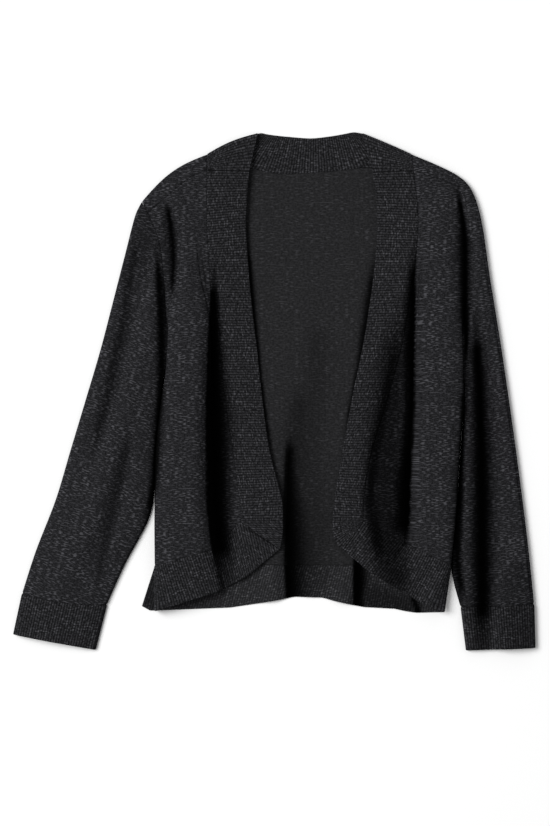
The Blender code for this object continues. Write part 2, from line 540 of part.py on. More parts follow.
def sleeve_grid(front, table):
    """A sleeve's tube from the armhole down. Its columns run round it: from the outer fold over the top to the
    inner fold, and back along the surface. Each column starts at a row of the front's armhole, and keeps its
    distances along and across the outer edge in proportion until it reaches the cuff."""
    end = grid_row(UNDERARM_ROW)
    armhole = front[: end + 1, 0]
    body_side = front[end:, 0]
    side = np.sign(table[-1].inner_x - table[-1].outer_x)
    outers = to_mm([row.outer_x for row in table], [row.outer_y for row in table])
    inners = to_mm([row.inner_x for row in table], [row.inner_y for row in table])
    limits = np.interp(-inners[:, 1], -body_side[:, 1], body_side[:, 0]) - side * SIDE_CLEARANCE
    inners[:, 0] = side * np.minimum(side * inners[:, 0], side * limits)

    edge = smooth(np.concatenate([armhole[:1, :2], outers]), np.linspace(0, len(outers), 120))
    edge_length = path_lengths(edge)
    into = side * across_path(edge)

    def beside_edge(length, depth):
        """Plan position at a length along the outer edge and a depth square to it."""
        point = [np.interp(length, edge_length, edge[:, k]) for k in (0, 1)]
        square = [np.interp(length, edge_length, into[:, k]) for k in (0, 1)]
        return np.stack(point, axis=-1) + unit(np.stack(square, axis=-1)) * np.asarray(depth)[..., None]

    nearest = np.linalg.norm(armhole[:, None, :2] - edge, axis=2).argmin(axis=1)
    nearest[0] = 0
    first_length = edge_length[nearest]
    first_depth = ((armhole[:, :2] - edge[nearest]) * into[nearest]).sum(axis=1)
    share = path_lengths(armhole[:, :2])
    share = share / share[-1]
    last_depth = share * np.linalg.norm(inners[-1] - outers[-1])
    inner_start = armhole[-1, :2] + unit(body_side[1, :2] - body_side[0, :2]) * UNDERARM_RADIUS
    inner_start[0] -= side * (WALL / 2 + SEAM_GAP)
    inner_in = -side * across_path(np.concatenate([inner_start[None], inners]))[1:]

    folded = len(FOLD_TURNS)
    under = armhole[1:].copy()
    under[:, 2] = RESTING
    under[: folded - 1, 2] = RESTING + SHOULDER_RADIUS * (1 - np.sin(FOLD_TURNS[1:]))
    inner_fold = np.append(inner_start, RESTING + UNDERARM_RADIUS)
    rings = [np.concatenate([armhole, inner_fold[None], under[::-1]])]
    high, low = RESTING + 2 * SHOULDER_RADIUS, RESTING + 2 * UNDERARM_RADIUS
    ring_share = path_lengths(np.concatenate([armhole[:1, :2], outers]))[1:]
    for row, inner, back_in, down in zip(table, inners, inner_in, ring_share / ring_share[-1]):
        length = first_length + (edge_length[-1] - first_length) * down
        depth = first_depth + (last_depth - first_depth) * down
        plan = beside_edge(length, depth)
        plan = plan + (share**2)[:, None] * (inner - plan[-1])
        plan[:folded] = beside_edge(length[:folded], SHOULDER_RADIUS * (1 - np.cos(FOLD_TURNS)))
        plan[-1] = inner + back_in * UNDERARM_RADIUS
        top = high + (low - high) * share**2 + (row.height - 7.5) * np.sin(np.pi * share) ** 0.8
        for place, depth in zip(TROUGH_PLACES, (row.trough_1, row.trough_2)):
            top = top - depth * np.exp(-(((share - place) / TROUGH_WIDTH) ** 2))
        top[:folded] = RESTING + SHOULDER_RADIUS * (1 + np.sin(FOLD_TURNS))
        top[-1] = low
        bottom = np.full(len(share), RESTING)
        bottom[:folded] = RESTING + SHOULDER_RADIUS * (1 - np.sin(FOLD_TURNS))
        upper = np.column_stack([plan, top])
        lower = np.column_stack([plan, bottom])[:0:-1]
        rings.append(np.concatenate([upper, np.append(inner, RESTING + UNDERARM_RADIUS)[None], lower]))
    return np.array(rings)


def make_sleeve(name, front, table, cuff_end, side):
    """A sleeve's tube and the rib cuff on its end."""
    grid = sleeve_grid(front, table)
    normals = ring_normals(grid, side)
    columns = grid.shape[1]
    upper = grid_row(UNDERARM_ROW) + 1
    normals[0, 1:upper] = (0, 0, 1)
    normals[0, upper + 1 :] = (0, 0, -1)
    sleeve = grid.copy()
    sleeve[0] += unit(grid[1] - grid[0]) * ARMHOLE_EASE
    sleeve = pull_in(sleeve, ("last row",))
    cloth(name + "_sleeve", sleeve, normals, ring=True)

    last = grid[-1]
    outer, inner = to_mm(cuff_end.outer_x, cuff_end.outer_y), to_mm(cuff_end.inner_x, cuff_end.inner_y)
    start, end = last[0, :2], last[upper, :2]
    line = end - start
    share = ((last[:, :2] - start) @ line / (line @ line))[:, None]
    mouth = np.column_stack([outer + (inner - outer) * share, last[:, 2]])
    rings = np.array([last, (last + mouth) / 2, mouth])
    closed = np.concatenate([rings, rings[:, :1]], axis=1)
    top_places = even_places(closed[0], RIB_PITCH / 2, 0, upper)
    under_places = np.arange(upper + 1, columns)
    places = np.concatenate([top_places, under_places])
    across = np.repeat(places[None], 3, axis=0)
    along = np.repeat(np.arange(3.0)[:, None], len(places), axis=1)
    cuff_normals = ring_normals(rings, side)
    closed_normals = np.concatenate([cuff_normals, cuff_normals[:, :1]], axis=1)
    cuff = pull_in(read_grid(closed, along, across), ("first row",))
    relief = np.zeros(cuff.shape[:2])
    relief[:, : len(top_places)] = ribs(cuff.swapaxes(0, 1)).T[:, : len(top_places)]
    cloth(name + "_cuff", cuff, unit(read_grid(closed_normals, along, across)), relief, ring=True)


def centre_on_origin():
    """Move every piece so that the origin is at the bottom centre of the whole cardigan."""
    pieces = bpy.data.collections["cardigan"].objects
    points = np.array([vertex.co for piece in pieces for vertex in piece.data.vertices])
    low, high = points.min(axis=0), points.max(axis=0)
    shift = -np.array([(low[0] + high[0]) / 2, (low[1] + high[1]) / 2, low[2]])
    for piece in pieces:
        piece.location = shift


def build():
    for thing in list(bpy.data.objects):
        bpy.data.objects.remove(thing)
    bpy.context.scene.collection.children.link(bpy.data.collections.new("cardigan"))
    right = front_grid(RIGHT_FRONT, RIGHT_SHOULDER, RIGHT_TURN)
    left = front_grid(LEFT_FRONT, LEFT_SHOULDER, LEFT_TURN)
    make_back(right, left)
    make_neck_band(right, left)
    make_front("right", right, 1)
    make_front("left", left, -1)
    make_sleeve("right", right, RIGHT_SLEEVE, RIGHT_CUFF_END, 1)
    make_sleeve("left", left, LEFT_SLEEVE, LEFT_CUFF_END, -1)
    centre_on_origin()


build()
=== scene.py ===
"""The looks of a cropped open-front cardigan in fine charcoal knit, laid on its back on a white table.

Shapes are worked out in millimetres with +Z up from the table, and plan positions are pixels of the
photograph, which looks straight down. Right and left are the wearer's, so the wearer's right is at the
picture's left.
"""

from collections import namedtuple

import bpy
import numpy as np
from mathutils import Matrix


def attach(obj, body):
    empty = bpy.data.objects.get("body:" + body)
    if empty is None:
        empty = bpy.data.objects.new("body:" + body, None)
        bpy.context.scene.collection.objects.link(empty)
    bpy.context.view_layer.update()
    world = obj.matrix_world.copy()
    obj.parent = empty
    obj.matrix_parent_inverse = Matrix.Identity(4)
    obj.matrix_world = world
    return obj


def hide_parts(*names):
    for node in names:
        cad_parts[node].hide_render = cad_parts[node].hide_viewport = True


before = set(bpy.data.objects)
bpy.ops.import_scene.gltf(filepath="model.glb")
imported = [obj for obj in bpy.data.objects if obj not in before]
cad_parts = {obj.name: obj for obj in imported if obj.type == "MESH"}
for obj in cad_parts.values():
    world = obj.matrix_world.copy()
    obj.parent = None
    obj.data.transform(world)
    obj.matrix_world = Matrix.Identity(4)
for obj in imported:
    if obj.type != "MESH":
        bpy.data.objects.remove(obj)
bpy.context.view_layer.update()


# ----------------------------------------------------------------------------------------------------------
# The table, the light and the camera. The cardigan lies on a white laminate table under a camera that looks
# straight down. A broad softbox stands well to its left, and the white room fills the shadows.

IMAGE_WIDTH, IMAGE_HEIGHT = 550, 826
MM_PER_PIXEL = 575.0 / 479.2  # the cardigan measures 575 mm from neck point to hem
PHOTO_CENTRE = (274.3, 390.9)  # the pixel that the tables below are measured from
CENTRING = (-0.011, 0.479)  # millimetres from there to the origin, the centre of the cardigan's box
CAMERA_HEIGHT = 3.2
SENSOR = 36.0


def linear(hex_colour):
    """Linear RGBA of an sRGB hex colour."""
    srgb = np.array([int(hex_colour[k : k + 2], 16) / 255 for k in (1, 3, 5)])
    straight = np.where(srgb <= 0.04045, srgb / 12.92, ((srgb + 0.055) / 1.055) ** 2.4)
    return (*straight, 1.0)


def add(tree, kind, inputs=(), **settings):
    """Add a node to a material, with its settings, and with a value or a link for each of its inputs."""
    made = tree.nodes.new(kind)
    for name, value in settings.items():
        setattr(made, name, value)
    for socket, value in dict(inputs).items():
        if isinstance(value, bpy.types.NodeSocket):
            tree.links.new(value, made.inputs[socket])
        else:
            made.inputs[socket].default_value = value
    return made


def white_laminate():
    """Melamine laminate, pressed matt: an even pale grey with a broad, weak gloss, which the light brings up
    to white everywhere but in the soft shadows."""
    material = bpy.data.materials.new("melamine laminate, pressed matt")
    material.use_nodes = True
    shader = material.node_tree.nodes["Principled BSDF"]
    shader.inputs["Base Color"].default_value = linear("#d8d8d8")
    shader.inputs["Roughness"].default_value = 0.7
    shader.inputs["Specular IOR Level"].default_value = 0.1
    return material


reach = 3.0  # half the table's width, in metres
table_mesh = bpy.data.meshes.new("table")
table_mesh.from_pydata(
    [(-reach, -reach, 0), (reach, -reach, 0), (reach, reach, 0), (-reach, reach, 0)], [], [(0, 1, 2, 3)]
)
table_mesh.materials.append(white_laminate())
table_top = bpy.data.objects.new("table", table_mesh)
bpy.context.scene.collection.objects.link(table_top)

softbox = bpy.data.lights.new("softbox", "AREA")
softbox.shape, softbox.size, softbox.size_y, softbox.energy = "RECTANGLE", 4.8, 4.8, 1056
softbox_stand = bpy.data.objects.new("softbox", softbox)
softbox_stand.location = (-5.2, 1.8, 7.2)
softbox_stand.rotation_euler = (-softbox_stand.location).to_track_quat("-Z", "Y").to_euler()
bpy.context.scene.collection.objects.link(softbox_stand)

room = bpy.data.worlds.new("white room")
room.use_nodes = True
room.node_tree.nodes["Background"].inputs["Color"].default_value = (1, 1, 1, 1)
room.node_tree.nodes["Background"].inputs["Strength"].default_value = 0.58
bpy.context.scene.world = room
bpy.context.scene.view_settings.view_transform = "Standard"

camera = bpy.data.cameras.new("camera")
camera.sensor_width = SENSOR
camera.lens = SENSOR * CAMERA_HEIGHT * 1000 / (IMAGE_HEIGHT * MM_PER_PIXEL)
camera_stand = bpy.data.objects.new("camera", camera)
camera_stand.location = (
    ((IMAGE_WIDTH / 2 - PHOTO_CENTRE[0]) * MM_PER_PIXEL + CENTRING[0]) / 1000,
    ((PHOTO_CENTRE[1] - IMAGE_HEIGHT / 2) * MM_PER_PIXEL + CENTRING[1]) / 1000,
    CAMERA_HEIGHT,
)  # above the middle of the picture
bpy.context.scene.collection.objects.link(camera_stand)
bpy.context.scene.camera = camera_stand


# ----------------------------------------------------------------------------------------------------------
# The two fronts. Each is one panel of fine slub jersey, cut on the straight and sewn to its band, its rib and
# the sleeve. It lies over the back and is pushed in towards the side, so that it stands up in one big fold.

CLOTH = 1.1  # thickness of the jersey with its loops
RESTING = 1.0  # height of the middle of a layer that lies on the table
SHOULDER_RADIUS = 4.0  # the cloth folds over at the shoulder in this radius
TIP_STRETCH = 1.5  # the armhole crosses that fold at a slant, so it turns over this many times the distance
SEAM_GAP = 0.02
SEAM_DIP = 0.55  # how far a sewn edge turns down into its seam
SEAM_ROLL = 1.3  # and over what width
INNER_DIP = 0.3  # share of that dip on the inner face
RIM_SHARE = 0.45  # share of its thickness that the cloth keeps at a rim
RIM_WIDTH = 0.8  # and how far from the rim it is whole again
PANEL_STEPS, BAND_COLUMNS = 84, 24  # cells across a panel, and across its band in a drape
SEAM_POINT, EDGE_POINT = 10, 12  # the band's seam and free edge among the points of a front's section
ROW_STEPS = 18  # cells down a front for each row of its table
FOLD_STEPS = 6
LINK_STEPS = 4
CLOUD = (26.0, 18.0)  # patches of more and of fewer slubs
UNDERARM_ROW, HEM_ROW, HEM_EDGE_ROW = 4, 8, 9
LINE_POINTS = 100  # steps along the line of a crease
RISE_WIDTH = 1.5  # it moves the cloth out to this many times the half width of its dark part
RIPPLE_LENGTH, RIPPLE_WIDTH, RIPPLE_HEIGHT = 60, 25, 0.3  # small unevenness of the panels
RIPPLE_SEED = 5
WAVES = 14

# y at the side, at the big fold's inner edge, at the band's seam and at the free edge, then x at the side, at
# the big fold's outer and inner edges, where the front leaves the valley, at the seam and at the free edge,
# all in pixels; then heights in millimetres of the side, the dip before the fold, the fold, the valley, the
# seam and the free edge. The last row but one is the hem rib's seam, and the last its edge.
FrontRow = namedtuple(
    "FrontRow",
    "y_side y_fold y_seam y_edge side fold_outer fold_inner valley seam edge"
    " z_side z_dip z_fold z_valley z_seam z_edge",
)
RIGHT_FRONT = (
    FrontRow(213, 178, 171, 172, 148.4, 163, 190, 199, 207, 249.3, 9.0, 9.5, 11, 11, 10.5, 9.5),
    FrontRow(240, 230, 226, 222, 158.8, 175, 194, 201, 207.4, 246, 9.0, 8.5, 14, 12, 11.5, 8.0),
    FrontRow(274, 274, 274, 274, 163.4, 178, 199, 205, 210, 249, 8.0, 8.0, 19, 14, 11, 7.0),
    FrontRow(312, 312, 312, 312, 166.6, 171.2, 207, 211.5, 213.7, 252.6, 7.0, 9.5, 22, 12, 9.0, 6.5),
    FrontRow(345, 345, 345, 345, 169.6, 169.0, 208.6, 215.5, 219.6, 256.6, 5.0, 11.0, 25, 6.5, 7.5, 6.5),
    FrontRow(396, 396, 396, 396, 162.0, 164.6, 207, 222.5, 225.2, 262, 3.4, 9.0, 26, 4.6, 7.5, 6.5),
    FrontRow(450, 450, 450, 450, 156.4, 160.2, 206.6, 229, 233, 269.6, 3.4, 9.0, 26, 4.4, 7.5, 7.5),
    FrontRow(505, 503, 500, 498, 154.8, 157, 208.2, 231, 239.6, 281.6, 3.4, 9.0, 25, 4.4, 8.5, 8.5),
    FrontRow(565, 549, 522, 522, 155, 157, 213, 231, 241, 283, 4.0, 9.0, 23, 4.6, 9.5, 8.5),
    FrontRow(610.5, 590, 575.5, 549, 155, 157, 221, 231, 247, 279.5, 4.2, 9.0, 20, 5.0, 8.0, 7.5),
)
LEFT_FRONT = (
    FrontRow(186.5, 177, 171.5, 173, 459.0, 451, 430, 421, 413.5, 372.4, 9.0, 9.5, 11, 11, 10.5, 9.5),
    FrontRow(212, 217, 218, 216, 467.4, 456, 428, 422, 417.8, 376.8, 9.0, 8.5, 16, 14, 11.5, 8.0),
    FrontRow(262, 262, 264, 264, 470.6, 457, 423, 419, 415, 374.8, 8.0, 6.5, 20, 14, 11, 7.0),
    FrontRow(306, 306, 307, 308, 466.0, 458.6, 419.6, 414, 408.8, 369, 6.5, 8.0, 23, 10, 9.0, 6.5),
    FrontRow(345, 345, 345, 345, 459.6, 460.6, 417.6, 407.4, 402, 363, 5.0, 11.0, 25, 6.0, 7.5, 6.5),
    FrontRow(396, 396, 396, 396, 463.6, 461, 416, 403.6, 388.6, 352.4, 3.4, 9.0, 26, 4.6, 6.5, 6.0),
    FrontRow(450, 450, 450, 450, 460.2, 457.4, 413.6, 401, 372, 342.6, 3.4, 9.0, 26, 4.4, 6.5, 6.0),
    FrontRow(505, 500, 495, 493, 456.6, 453.8, 413.2, 401, 364.4, 335.2, 3.4, 9.0, 25, 4.4, 7.5, 7.0),
    FrontRow(565, 545, 521, 521, 450.8, 448.6, 410, 400.5, 363.3, 332.4, 4.0, 9.0, 22, 5.0, 8.5, 8.0),
    FrontRow(611.6, 602, 572.5, 550, 444, 442, 420, 407, 371, 343, 4.2, 8.5, 17, 5.4, 8.5, 8.5),
)
# Where a front's free edge turns into its hem: the edge half way through the turn, in pixels
RIGHT_TURN = (282.3, 536)
LEFT_TURN = (333.8, 537.5)

# The shoulder's fold, from the sleeve's head to the band's seam and to the band's free edge, in pixels, and
# how far the panel and the band bulge out from the straight lines between them
ShoulderFold = namedtuple("ShoulderFold", "tip seam edge panel_bulge band_bulge")
RIGHT_SHOULDER = ShoulderFold((142.4, 202.4), (207, 155.5), (258, 134.4), 6.6, 2.6)
LEFT_SHOULDER = ShoulderFold((452.0, 173.2), (411.5, 155.5), (362, 134.4), 0.5, 0.4)


def to_mm(x, y):
    """Plan position in millimetres of a pixel of the photograph."""
    x, y = np.asarray(x, float), np.asarray(y, float)
    return np.stack([(x - PHOTO_CENTRE[0]) * MM_PER_PIXEL, (PHOTO_CENTRE[1] - y) * MM_PER_PIXEL], axis=-1)


def smooth(rows, places):
    """A smooth (Catmull-Rom) curve through the rows, read at fractional row numbers."""
    rows = np.asarray(rows, float)
    last = len(rows) - 1
    start_row = np.clip(np.floor(places).astype(int), 0, last - 1)
    t = (np.asarray(places, float) - start_row).reshape((-1,) + (1,) * (rows.ndim - 1))
    before, start, end, after = (rows[np.clip(start_row + k, 0, last)] for k in (-1, 0, 1, 2))
    leave, arrive = (end - before) / 2, (after - start) / 2
    return (
        (2 * t**3 - 3 * t**2 + 1) * start
        + (t**3 - 2 * t**2 + t) * leave
        + (3 * t**2 - 2 * t**3) * end
        + (t**3 - t**2) * arrive
    )


def read_grid(grid, row_places, column_places):
    """Points of a grid at fractional rows and columns, along the straight lines between its own points."""
    row = np.clip(np.floor(row_places).astype(int), 0, grid.shape[0] - 2)
    column = np.clip(np.floor(column_places).astype(int), 0, grid.shape[1] - 2)
    a = (row_places - row)[..., None]
    b = (column_places - column)[..., None]
    near = grid[row, column] * (1 - b) + grid[row, column + 1] * b
    far = grid[row + 1, column] * (1 - b) + grid[row + 1, column + 1] * b
    return near * (1 - a) + far * a


def read_line(line, wanted, at=None):
    """Points of a line where a measure along it has wanted values. It is a point's number unless given."""
    at = np.arange(len(line)) if at is None else at
    return np.stack([np.interp(wanted, at, values) for values in line.T], axis=-1)


def unit(vectors):
    """Vectors at length 1."""
    return vectors / np.maximum(np.linalg.norm(vectors, axis=-1, keepdims=True), 1e-9)


def path_lengths(path):
    """Distance along a path to each of its points."""
    return np.concatenate([[0], np.cumsum(np.linalg.norm(np.diff(path, axis=0), axis=-1))])


def grid_normals(points, side, ring=False):
    """Unit normals of a grid: the cross product of its two directions. side is 1 or -1 and turns them round,
    and in a ring the last column is next to the first."""
    down = np.gradient(points, axis=0)
    over = np.roll(points, -1, axis=1) - np.roll(points, 1, axis=1) if ring else np.gradient(points, axis=1)
    return unit(np.cross(down, over)) * side


ALL_EDGES = ("first row", "last row", "first column", "last column")


def from_edge(grid, edge):
    """A view of a grid whose first row is the named edge."""
    grid = grid.swapaxes(0, 1) if edge.endswith("column") else grid
    return grid[::-1] if edge.startswith("last") else grid


def edge_distance(points, edges):
    """Distance along the cloth from each point of a grid to the nearest of the named edges."""
    nearest = np.full(points.shape[:2], 1e9)
    for edge in edges:
        steps = np.linalg.norm(np.diff(from_edge(points, edge), axis=0), axis=-1)
        there = from_edge(nearest, edge)
        there[0] = 0
        there[1:] = np.minimum(there[1:], np.cumsum(steps, axis=0))
    return nearest


def pull_in(points, edges, distance=SEAM_GAP / 2):
    """Move a grid's named edges in along the cloth, so that sewn pieces stay just apart."""
    points = points.copy()
    for edge in edges:
        there = from_edge(points, edge)
        there[0] += unit(there[1] - there[0]) * distance
    return points


def crowded(first, last, count):
    """Places from first to last: even, with three more close to each end, where cloth turns into a seam."""
    step = (last - first) / count
    near = np.array([0.22, 0.48, 0.74]) * step
    even = np.linspace(first, last, count + 1)
    return np.concatenate([even[:1], first + near, even[1:-1], last - near[::-1], even[-1:]])


def knit_piece(
    name, nodes, material, middle, normals, uv, above=CLOTH / 2, below=CLOTH / 2, sewn=(), ring=False,
    missing=None, relief=1.0, shut=0.0, other_side=None,
):
    """A closed shell of cloth round a grid of middle points. Its outer face is above the middle and its inner
    face below it, both along the normals; near a sewn edge both turn down into the seam, by a Gaussian of the
    distance to it, and at every edge the faces draw together so that it looks rounded. uv is in millimetres
    along the courses and the wales of the knit, relief is 0 in a groove and 1 on a rib, and shut is how far
    shade is painted into its colour, up to black at 1 deep inside a closed fold. missing marks cells to leave
    out, and other_side is the material of the inner face, where it differs."""
    rows, columns = middle.shape[:2]
    middle = pull_in(middle, sewn)
    dip = SEAM_DIP * np.exp(-((edge_distance(middle, sewn) / SEAM_ROLL) ** 2))
    from_rim = np.clip(edge_distance(middle, ALL_EDGES[:2] if ring else ALL_EDGES) / RIM_WIDTH, 0, 1)
    rounding = RIM_SHARE + (1 - RIM_SHARE) * from_rim**0.5
    outer = middle + normals * (above * rounding - dip)[..., None]
    inner = middle - normals * (below * rounding + dip * INNER_DIP)[..., None]
    index = np.arange(rows * columns).reshape(rows, columns)
    after = np.roll(index, -1, axis=1) if ring else index[:, 1:]
    here = index if ring else index[:, :-1]
    cells = np.stack([here[:-1], after[:-1], after[1:], here[1:]], axis=-1)
    if missing is not None:
        cells = cells[~missing]
    cells = cells.reshape(-1, 4)
    starts, ends = cells.ravel(), np.roll(cells, -1, axis=1).ravel()
    forward, backward = starts * rows * columns + ends, ends * rows * columns + starts
    alone = ~np.isin(backward, forward)
    rim_start, rim_end = starts[alone], ends[alone]
    under = rows * columns
    faces = np.concatenate([
        cells,
        cells[:, ::-1] + under,
        np.stack([rim_end, rim_start, rim_start + under, rim_end + under], axis=1),
    ])
    vertices = np.concatenate([outer.reshape(-1, 3), inner.reshape(-1, 3)])
    corners = vertices[faces]
    volume = (np.cross(corners[:, 0], corners[:, 1]) * corners[:, 2]).sum()
    volume += (np.cross(corners[:, 0], corners[:, 2]) * corners[:, 3]).sum()
    if volume < 0:
        faces = faces[:, ::-1]
    kept, faces = np.unique(faces, return_inverse=True)
    faces = faces.reshape(-1, 4)
    vertices[:, :2] += CENTRING
    mesh = bpy.data.meshes.new(name)
    mesh.from_pydata((vertices[kept] / 1000).tolist(), [], faces.tolist())
    flat = np.concatenate([uv.reshape(-1, 2)] * 2)[kept][faces.ravel()]
    mesh.uv_layers.new(name="knit").data.foreach_set("uv", (flat / 1000).ravel())
    # The rib height and the painted shade go to the material as point attributes.
    for attribute, values in (("relief", relief), ("shut", shut)):
        values = np.concatenate([np.broadcast_to(values, (rows, columns)).ravel()] * 2)[kept]
        mesh.attributes.new(attribute, "FLOAT", "POINT").data.foreach_set("value", values.astype(float))
    mesh.materials.append(material)
    if other_side:
        mesh.materials.append(other_side)
        mesh.polygons.foreach_set("material_index", (np.arange(len(faces)) >= len(cells)).astype(np.int32))
    mesh.shade_smooth()
    piece = bpy.data.objects.new(name, mesh)
    bpy.context.scene.collection.objects.link(piece)
    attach(piece, "root")
    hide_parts(*nodes)
    return piece


def slub_knit(name, groove, crest, slub, grain, dash, dash_level):
    """A knit of cotton and viscose slub yarn. Single loops make a fine speckle, and thick soft places in the
    yarn show as short light dashes along the courses, more in some patches than in others. The loops are
    drawn twice as coarse as they are, because true ones are finer than a pixel. It is matt, with a faint haze
    of fibre. Shade is painted into its colour: a rib's grooves take the dark groove colour, and the shut
    attribute paints it towards black deep in folds and in the shadows beside raised edges. grain and dash
    are sizes in millimetres."""
    material = bpy.data.materials.new(name)
    material.use_nodes = True
    tree = material.node_tree
    shader = tree.nodes["Principled BSDF"]
    place = add(tree, "ShaderNodeUVMap", uv_map="knit").outputs["UV"]
    patterns = []
    for (wide, tall), detail, least, most in (
        (grain, 1.0, 0.30, 0.70),
        (dash, 0.0, dash_level, dash_level + 0.16),
        (CLOUD, 1.0, 0.36, 0.64),
    ):
        spread = add(tree, "ShaderNodeMapping", {"Vector": place, "Scale": (1000 / wide, 1000 / tall, 1)})
        noise = add(tree, "ShaderNodeTexNoise", {"Vector": spread.outputs[0], "Scale": 1.0, "Detail": detail},
                    noise_dimensions="2D")
        level = add(tree, "ShaderNodeMapRange",
                    {"Value": noise.outputs["Fac"], "From Min": least, "From Max": most})
        patterns.append(level.outputs["Result"])
    loops, dashes, clouds = patterns
    relief = add(tree, "ShaderNodeAttribute", attribute_name="relief").outputs["Fac"]
    shut = add(tree, "ShaderNodeAttribute", attribute_name="shut").outputs["Fac"]
    busy = add(tree, "ShaderNodeMapRange", {"Value": clouds, "To Min": 0.45})
    # Painted shade in a rib's grooves: where relief falls to 0, the yarn takes the groove colour and loses
    # its dashes.
    light = add(tree, "ShaderNodeMath", {0: loops, 1: relief}, operation="MULTIPLY")
    seen = add(tree, "ShaderNodeMath", {0: dashes, 1: busy.outputs["Result"]}, operation="MULTIPLY")
    raised = add(tree, "ShaderNodeMath", {0: seen.outputs[0], 1: relief}, operation="MULTIPLY")
    yarn = add(tree, "ShaderNodeMix", {
        "Factor": light.outputs[0], "A": linear(groove), "B": linear(crest)
    }, data_type="RGBA")
    flecked = add(tree, "ShaderNodeMix", {
        "Factor": raised.outputs[0], "A": yarn.outputs["Result"], "B": linear(slub)
    }, data_type="RGBA")
    # Painted shade: the shut attribute mixes the yarn's colour towards black.
    colour = add(tree, "ShaderNodeMix", {
        "Factor": shut, "A": flecked.outputs["Result"], "B": linear("#000000")
    }, data_type="RGBA")
    thick = add(tree, "ShaderNodeMath", {0: loops, 1: dashes}, operation="ADD")
    bump = add(tree, "ShaderNodeBump", {"Height": thick.outputs[0], "Strength": 0.4, "Distance": 0.0003})
    tree.links.new(colour.outputs["Result"], shader.inputs["Base Color"])
    tree.links.new(bump.outputs["Normal"], shader.inputs["Normal"])
    shader.inputs["Roughness"].default_value = 0.95
    shader.inputs["Specular IOR Level"].default_value = 0.003
    shader.inputs["Sheen Weight"].default_value = 0.003
    shader.inputs["Sheen Roughness"].default_value = 0.6
    return material


def front_section(row):
    """The 13 points across a front in one section, from its side to its free edge, in millimetres."""
    fold = row.fold_inner - row.fold_outer
    valley = row.valley - row.fold_inner
    x = [
        row.side,
        (row.side + row.fold_outer) / 2,
        row.fold_outer,
        row.fold_outer + 0.2 * fold,
        row.fold_outer + 0.5 * fold,
        row.fold_outer + 0.8 * fold,
        row.fold_inner,
        row.fold_inner + 0.25 * valley,
        row.fold_inner + 0.7 * valley,
        row.valley,
        row.seam,
        (row.seam + row.edge) / 2,
        row.edge,
    ]
    y = np.interp(
        abs(np.array(x) - row.side),
        abs(np.array([row.side, row.fold_inner, row.seam, row.edge]) - row.side),
        [row.y_side, row.y_fold, row.y_seam, row.y_edge],
    )
    z = [
        row.z_side,
        row.z_dip,
        row.z_dip + 0.6 * (row.z_fold - row.z_dip),
        row.z_fold - 0.6,
        row.z_fold + 0.4,
        row.z_fold - 0.8,
        row.z_valley + 0.5 * (row.z_fold - row.z_valley),
        row.z_valley + 0.4,
        row.z_valley,
        row.z_valley + 0.55 * (row.z_seam - row.z_valley),
        row.z_seam,
        (row.z_seam + row.z_edge) / 2 + 0.8,
        row.z_edge,
    ]
    return np.column_stack([to_mm(x, y), z])


# Columns of a draped front at its band's seam and at its free edge, and its row at the forward shoulder seam
SEAM, EDGE = PANEL_STEPS, PANEL_STEPS + BAND_COLUMNS
TOP = FOLD_STEPS + LINK_STEPS
UNDERARM, HEM = TOP + UNDERARM_ROW * ROW_STEPS, TOP + HEM_ROW * ROW_STEPS
END = HEM + ROW_STEPS  # its row at the hem's edge


def up_from_fold(shoulder):
    """Unit plan vector square to the shoulder's fold, away from the body."""
    along = unit(to_mm(*shoulder.edge) - to_mm(*shoulder.seam))
    return np.array([-along[1], along[0]]) * np.sign(along[0])


def draped_front(table, shoulder, turn_point):
    """A whole front as a fine grid, from the shoulder's fold to the hem's edge and from the side to the free
    edge: smooth curves through each section, then smooth curves down the sections. Over the shoulder the rows
    follow a quarter circle, and a cubic curve joins it to the first section."""
    across_panel = np.linspace(0, SEAM_POINT, PANEL_STEPS + 1)
    across_band = np.linspace(SEAM_POINT, EDGE_POINT, BAND_COLUMNS + 1)
    columns = np.concatenate([across_panel, across_band[1:]])
    sections = np.array([smooth(front_section(row), columns) for row in table])
    body = smooth(sections[: HEM_ROW + 1], np.linspace(0, HEM_ROW, HEM_ROW * ROW_STEPS + 1))
    hem, end = sections[HEM_ROW], sections[HEM_EDGE_ROW]
    middle = (hem + end) / 2
    bulge = np.zeros_like(middle)
    bulge[-1, :2] = to_mm(*turn_point) - middle[-1, :2]
    share = np.linspace(0, 1, ROW_STEPS + 1)[1:, None, None]
    block = hem + (end - hem) * share + bulge * 4 * share * (1 - share)
    tip, seam, edge = to_mm(*shoulder.tip), to_mm(*shoulder.seam), to_mm(*shoulder.edge)
    across = path_lengths(body[0, :, :2])
    panel_share = (across / across[SEAM])[: SEAM + 1, None]
    band_share = ((across - across[SEAM]) / (across[-1] - across[SEAM]))[SEAM + 1 :, None]
    crest = np.concatenate([tip + (seam - tip) * panel_share, seam + (edge - seam) * band_share])
    panel_bulge = shoulder.panel_bulge * np.sin(np.pi * panel_share)
    band_bulge = shoulder.band_bulge * np.sin(np.pi * band_share)
    crest += up_from_fold(shoulder) * np.concatenate([panel_bulge, band_bulge]) * MM_PER_PIXEL
    inward = unit(body[0, :, :2] - crest)
    inward[0] *= TIP_STRETCH
    fold = []
    for turn in np.linspace(0, np.pi / 2, FOLD_STEPS + 1):
        plan = crest + inward * SHOULDER_RADIUS * (1 - np.cos(turn))
        height = RESTING + SHOULDER_RADIUS * (1 + np.sin(turn))
        fold.append(np.column_stack([plan, np.full(len(plan), height)]))
    fold = np.array(fold)
    gap = body[0] - fold[-1]
    leave = gap * (1, 1, 0)
    t = np.linspace(0, 1, LINK_STEPS + 1)[1:-1, None, None]
    link = fold[-1] + leave * (t**3 - 2 * t**2 + t) + gap * (3 * t**2 - 2 * t**3) + gap * (t**3 - t**2)
    return np.concatenate([fold, link, body, block])
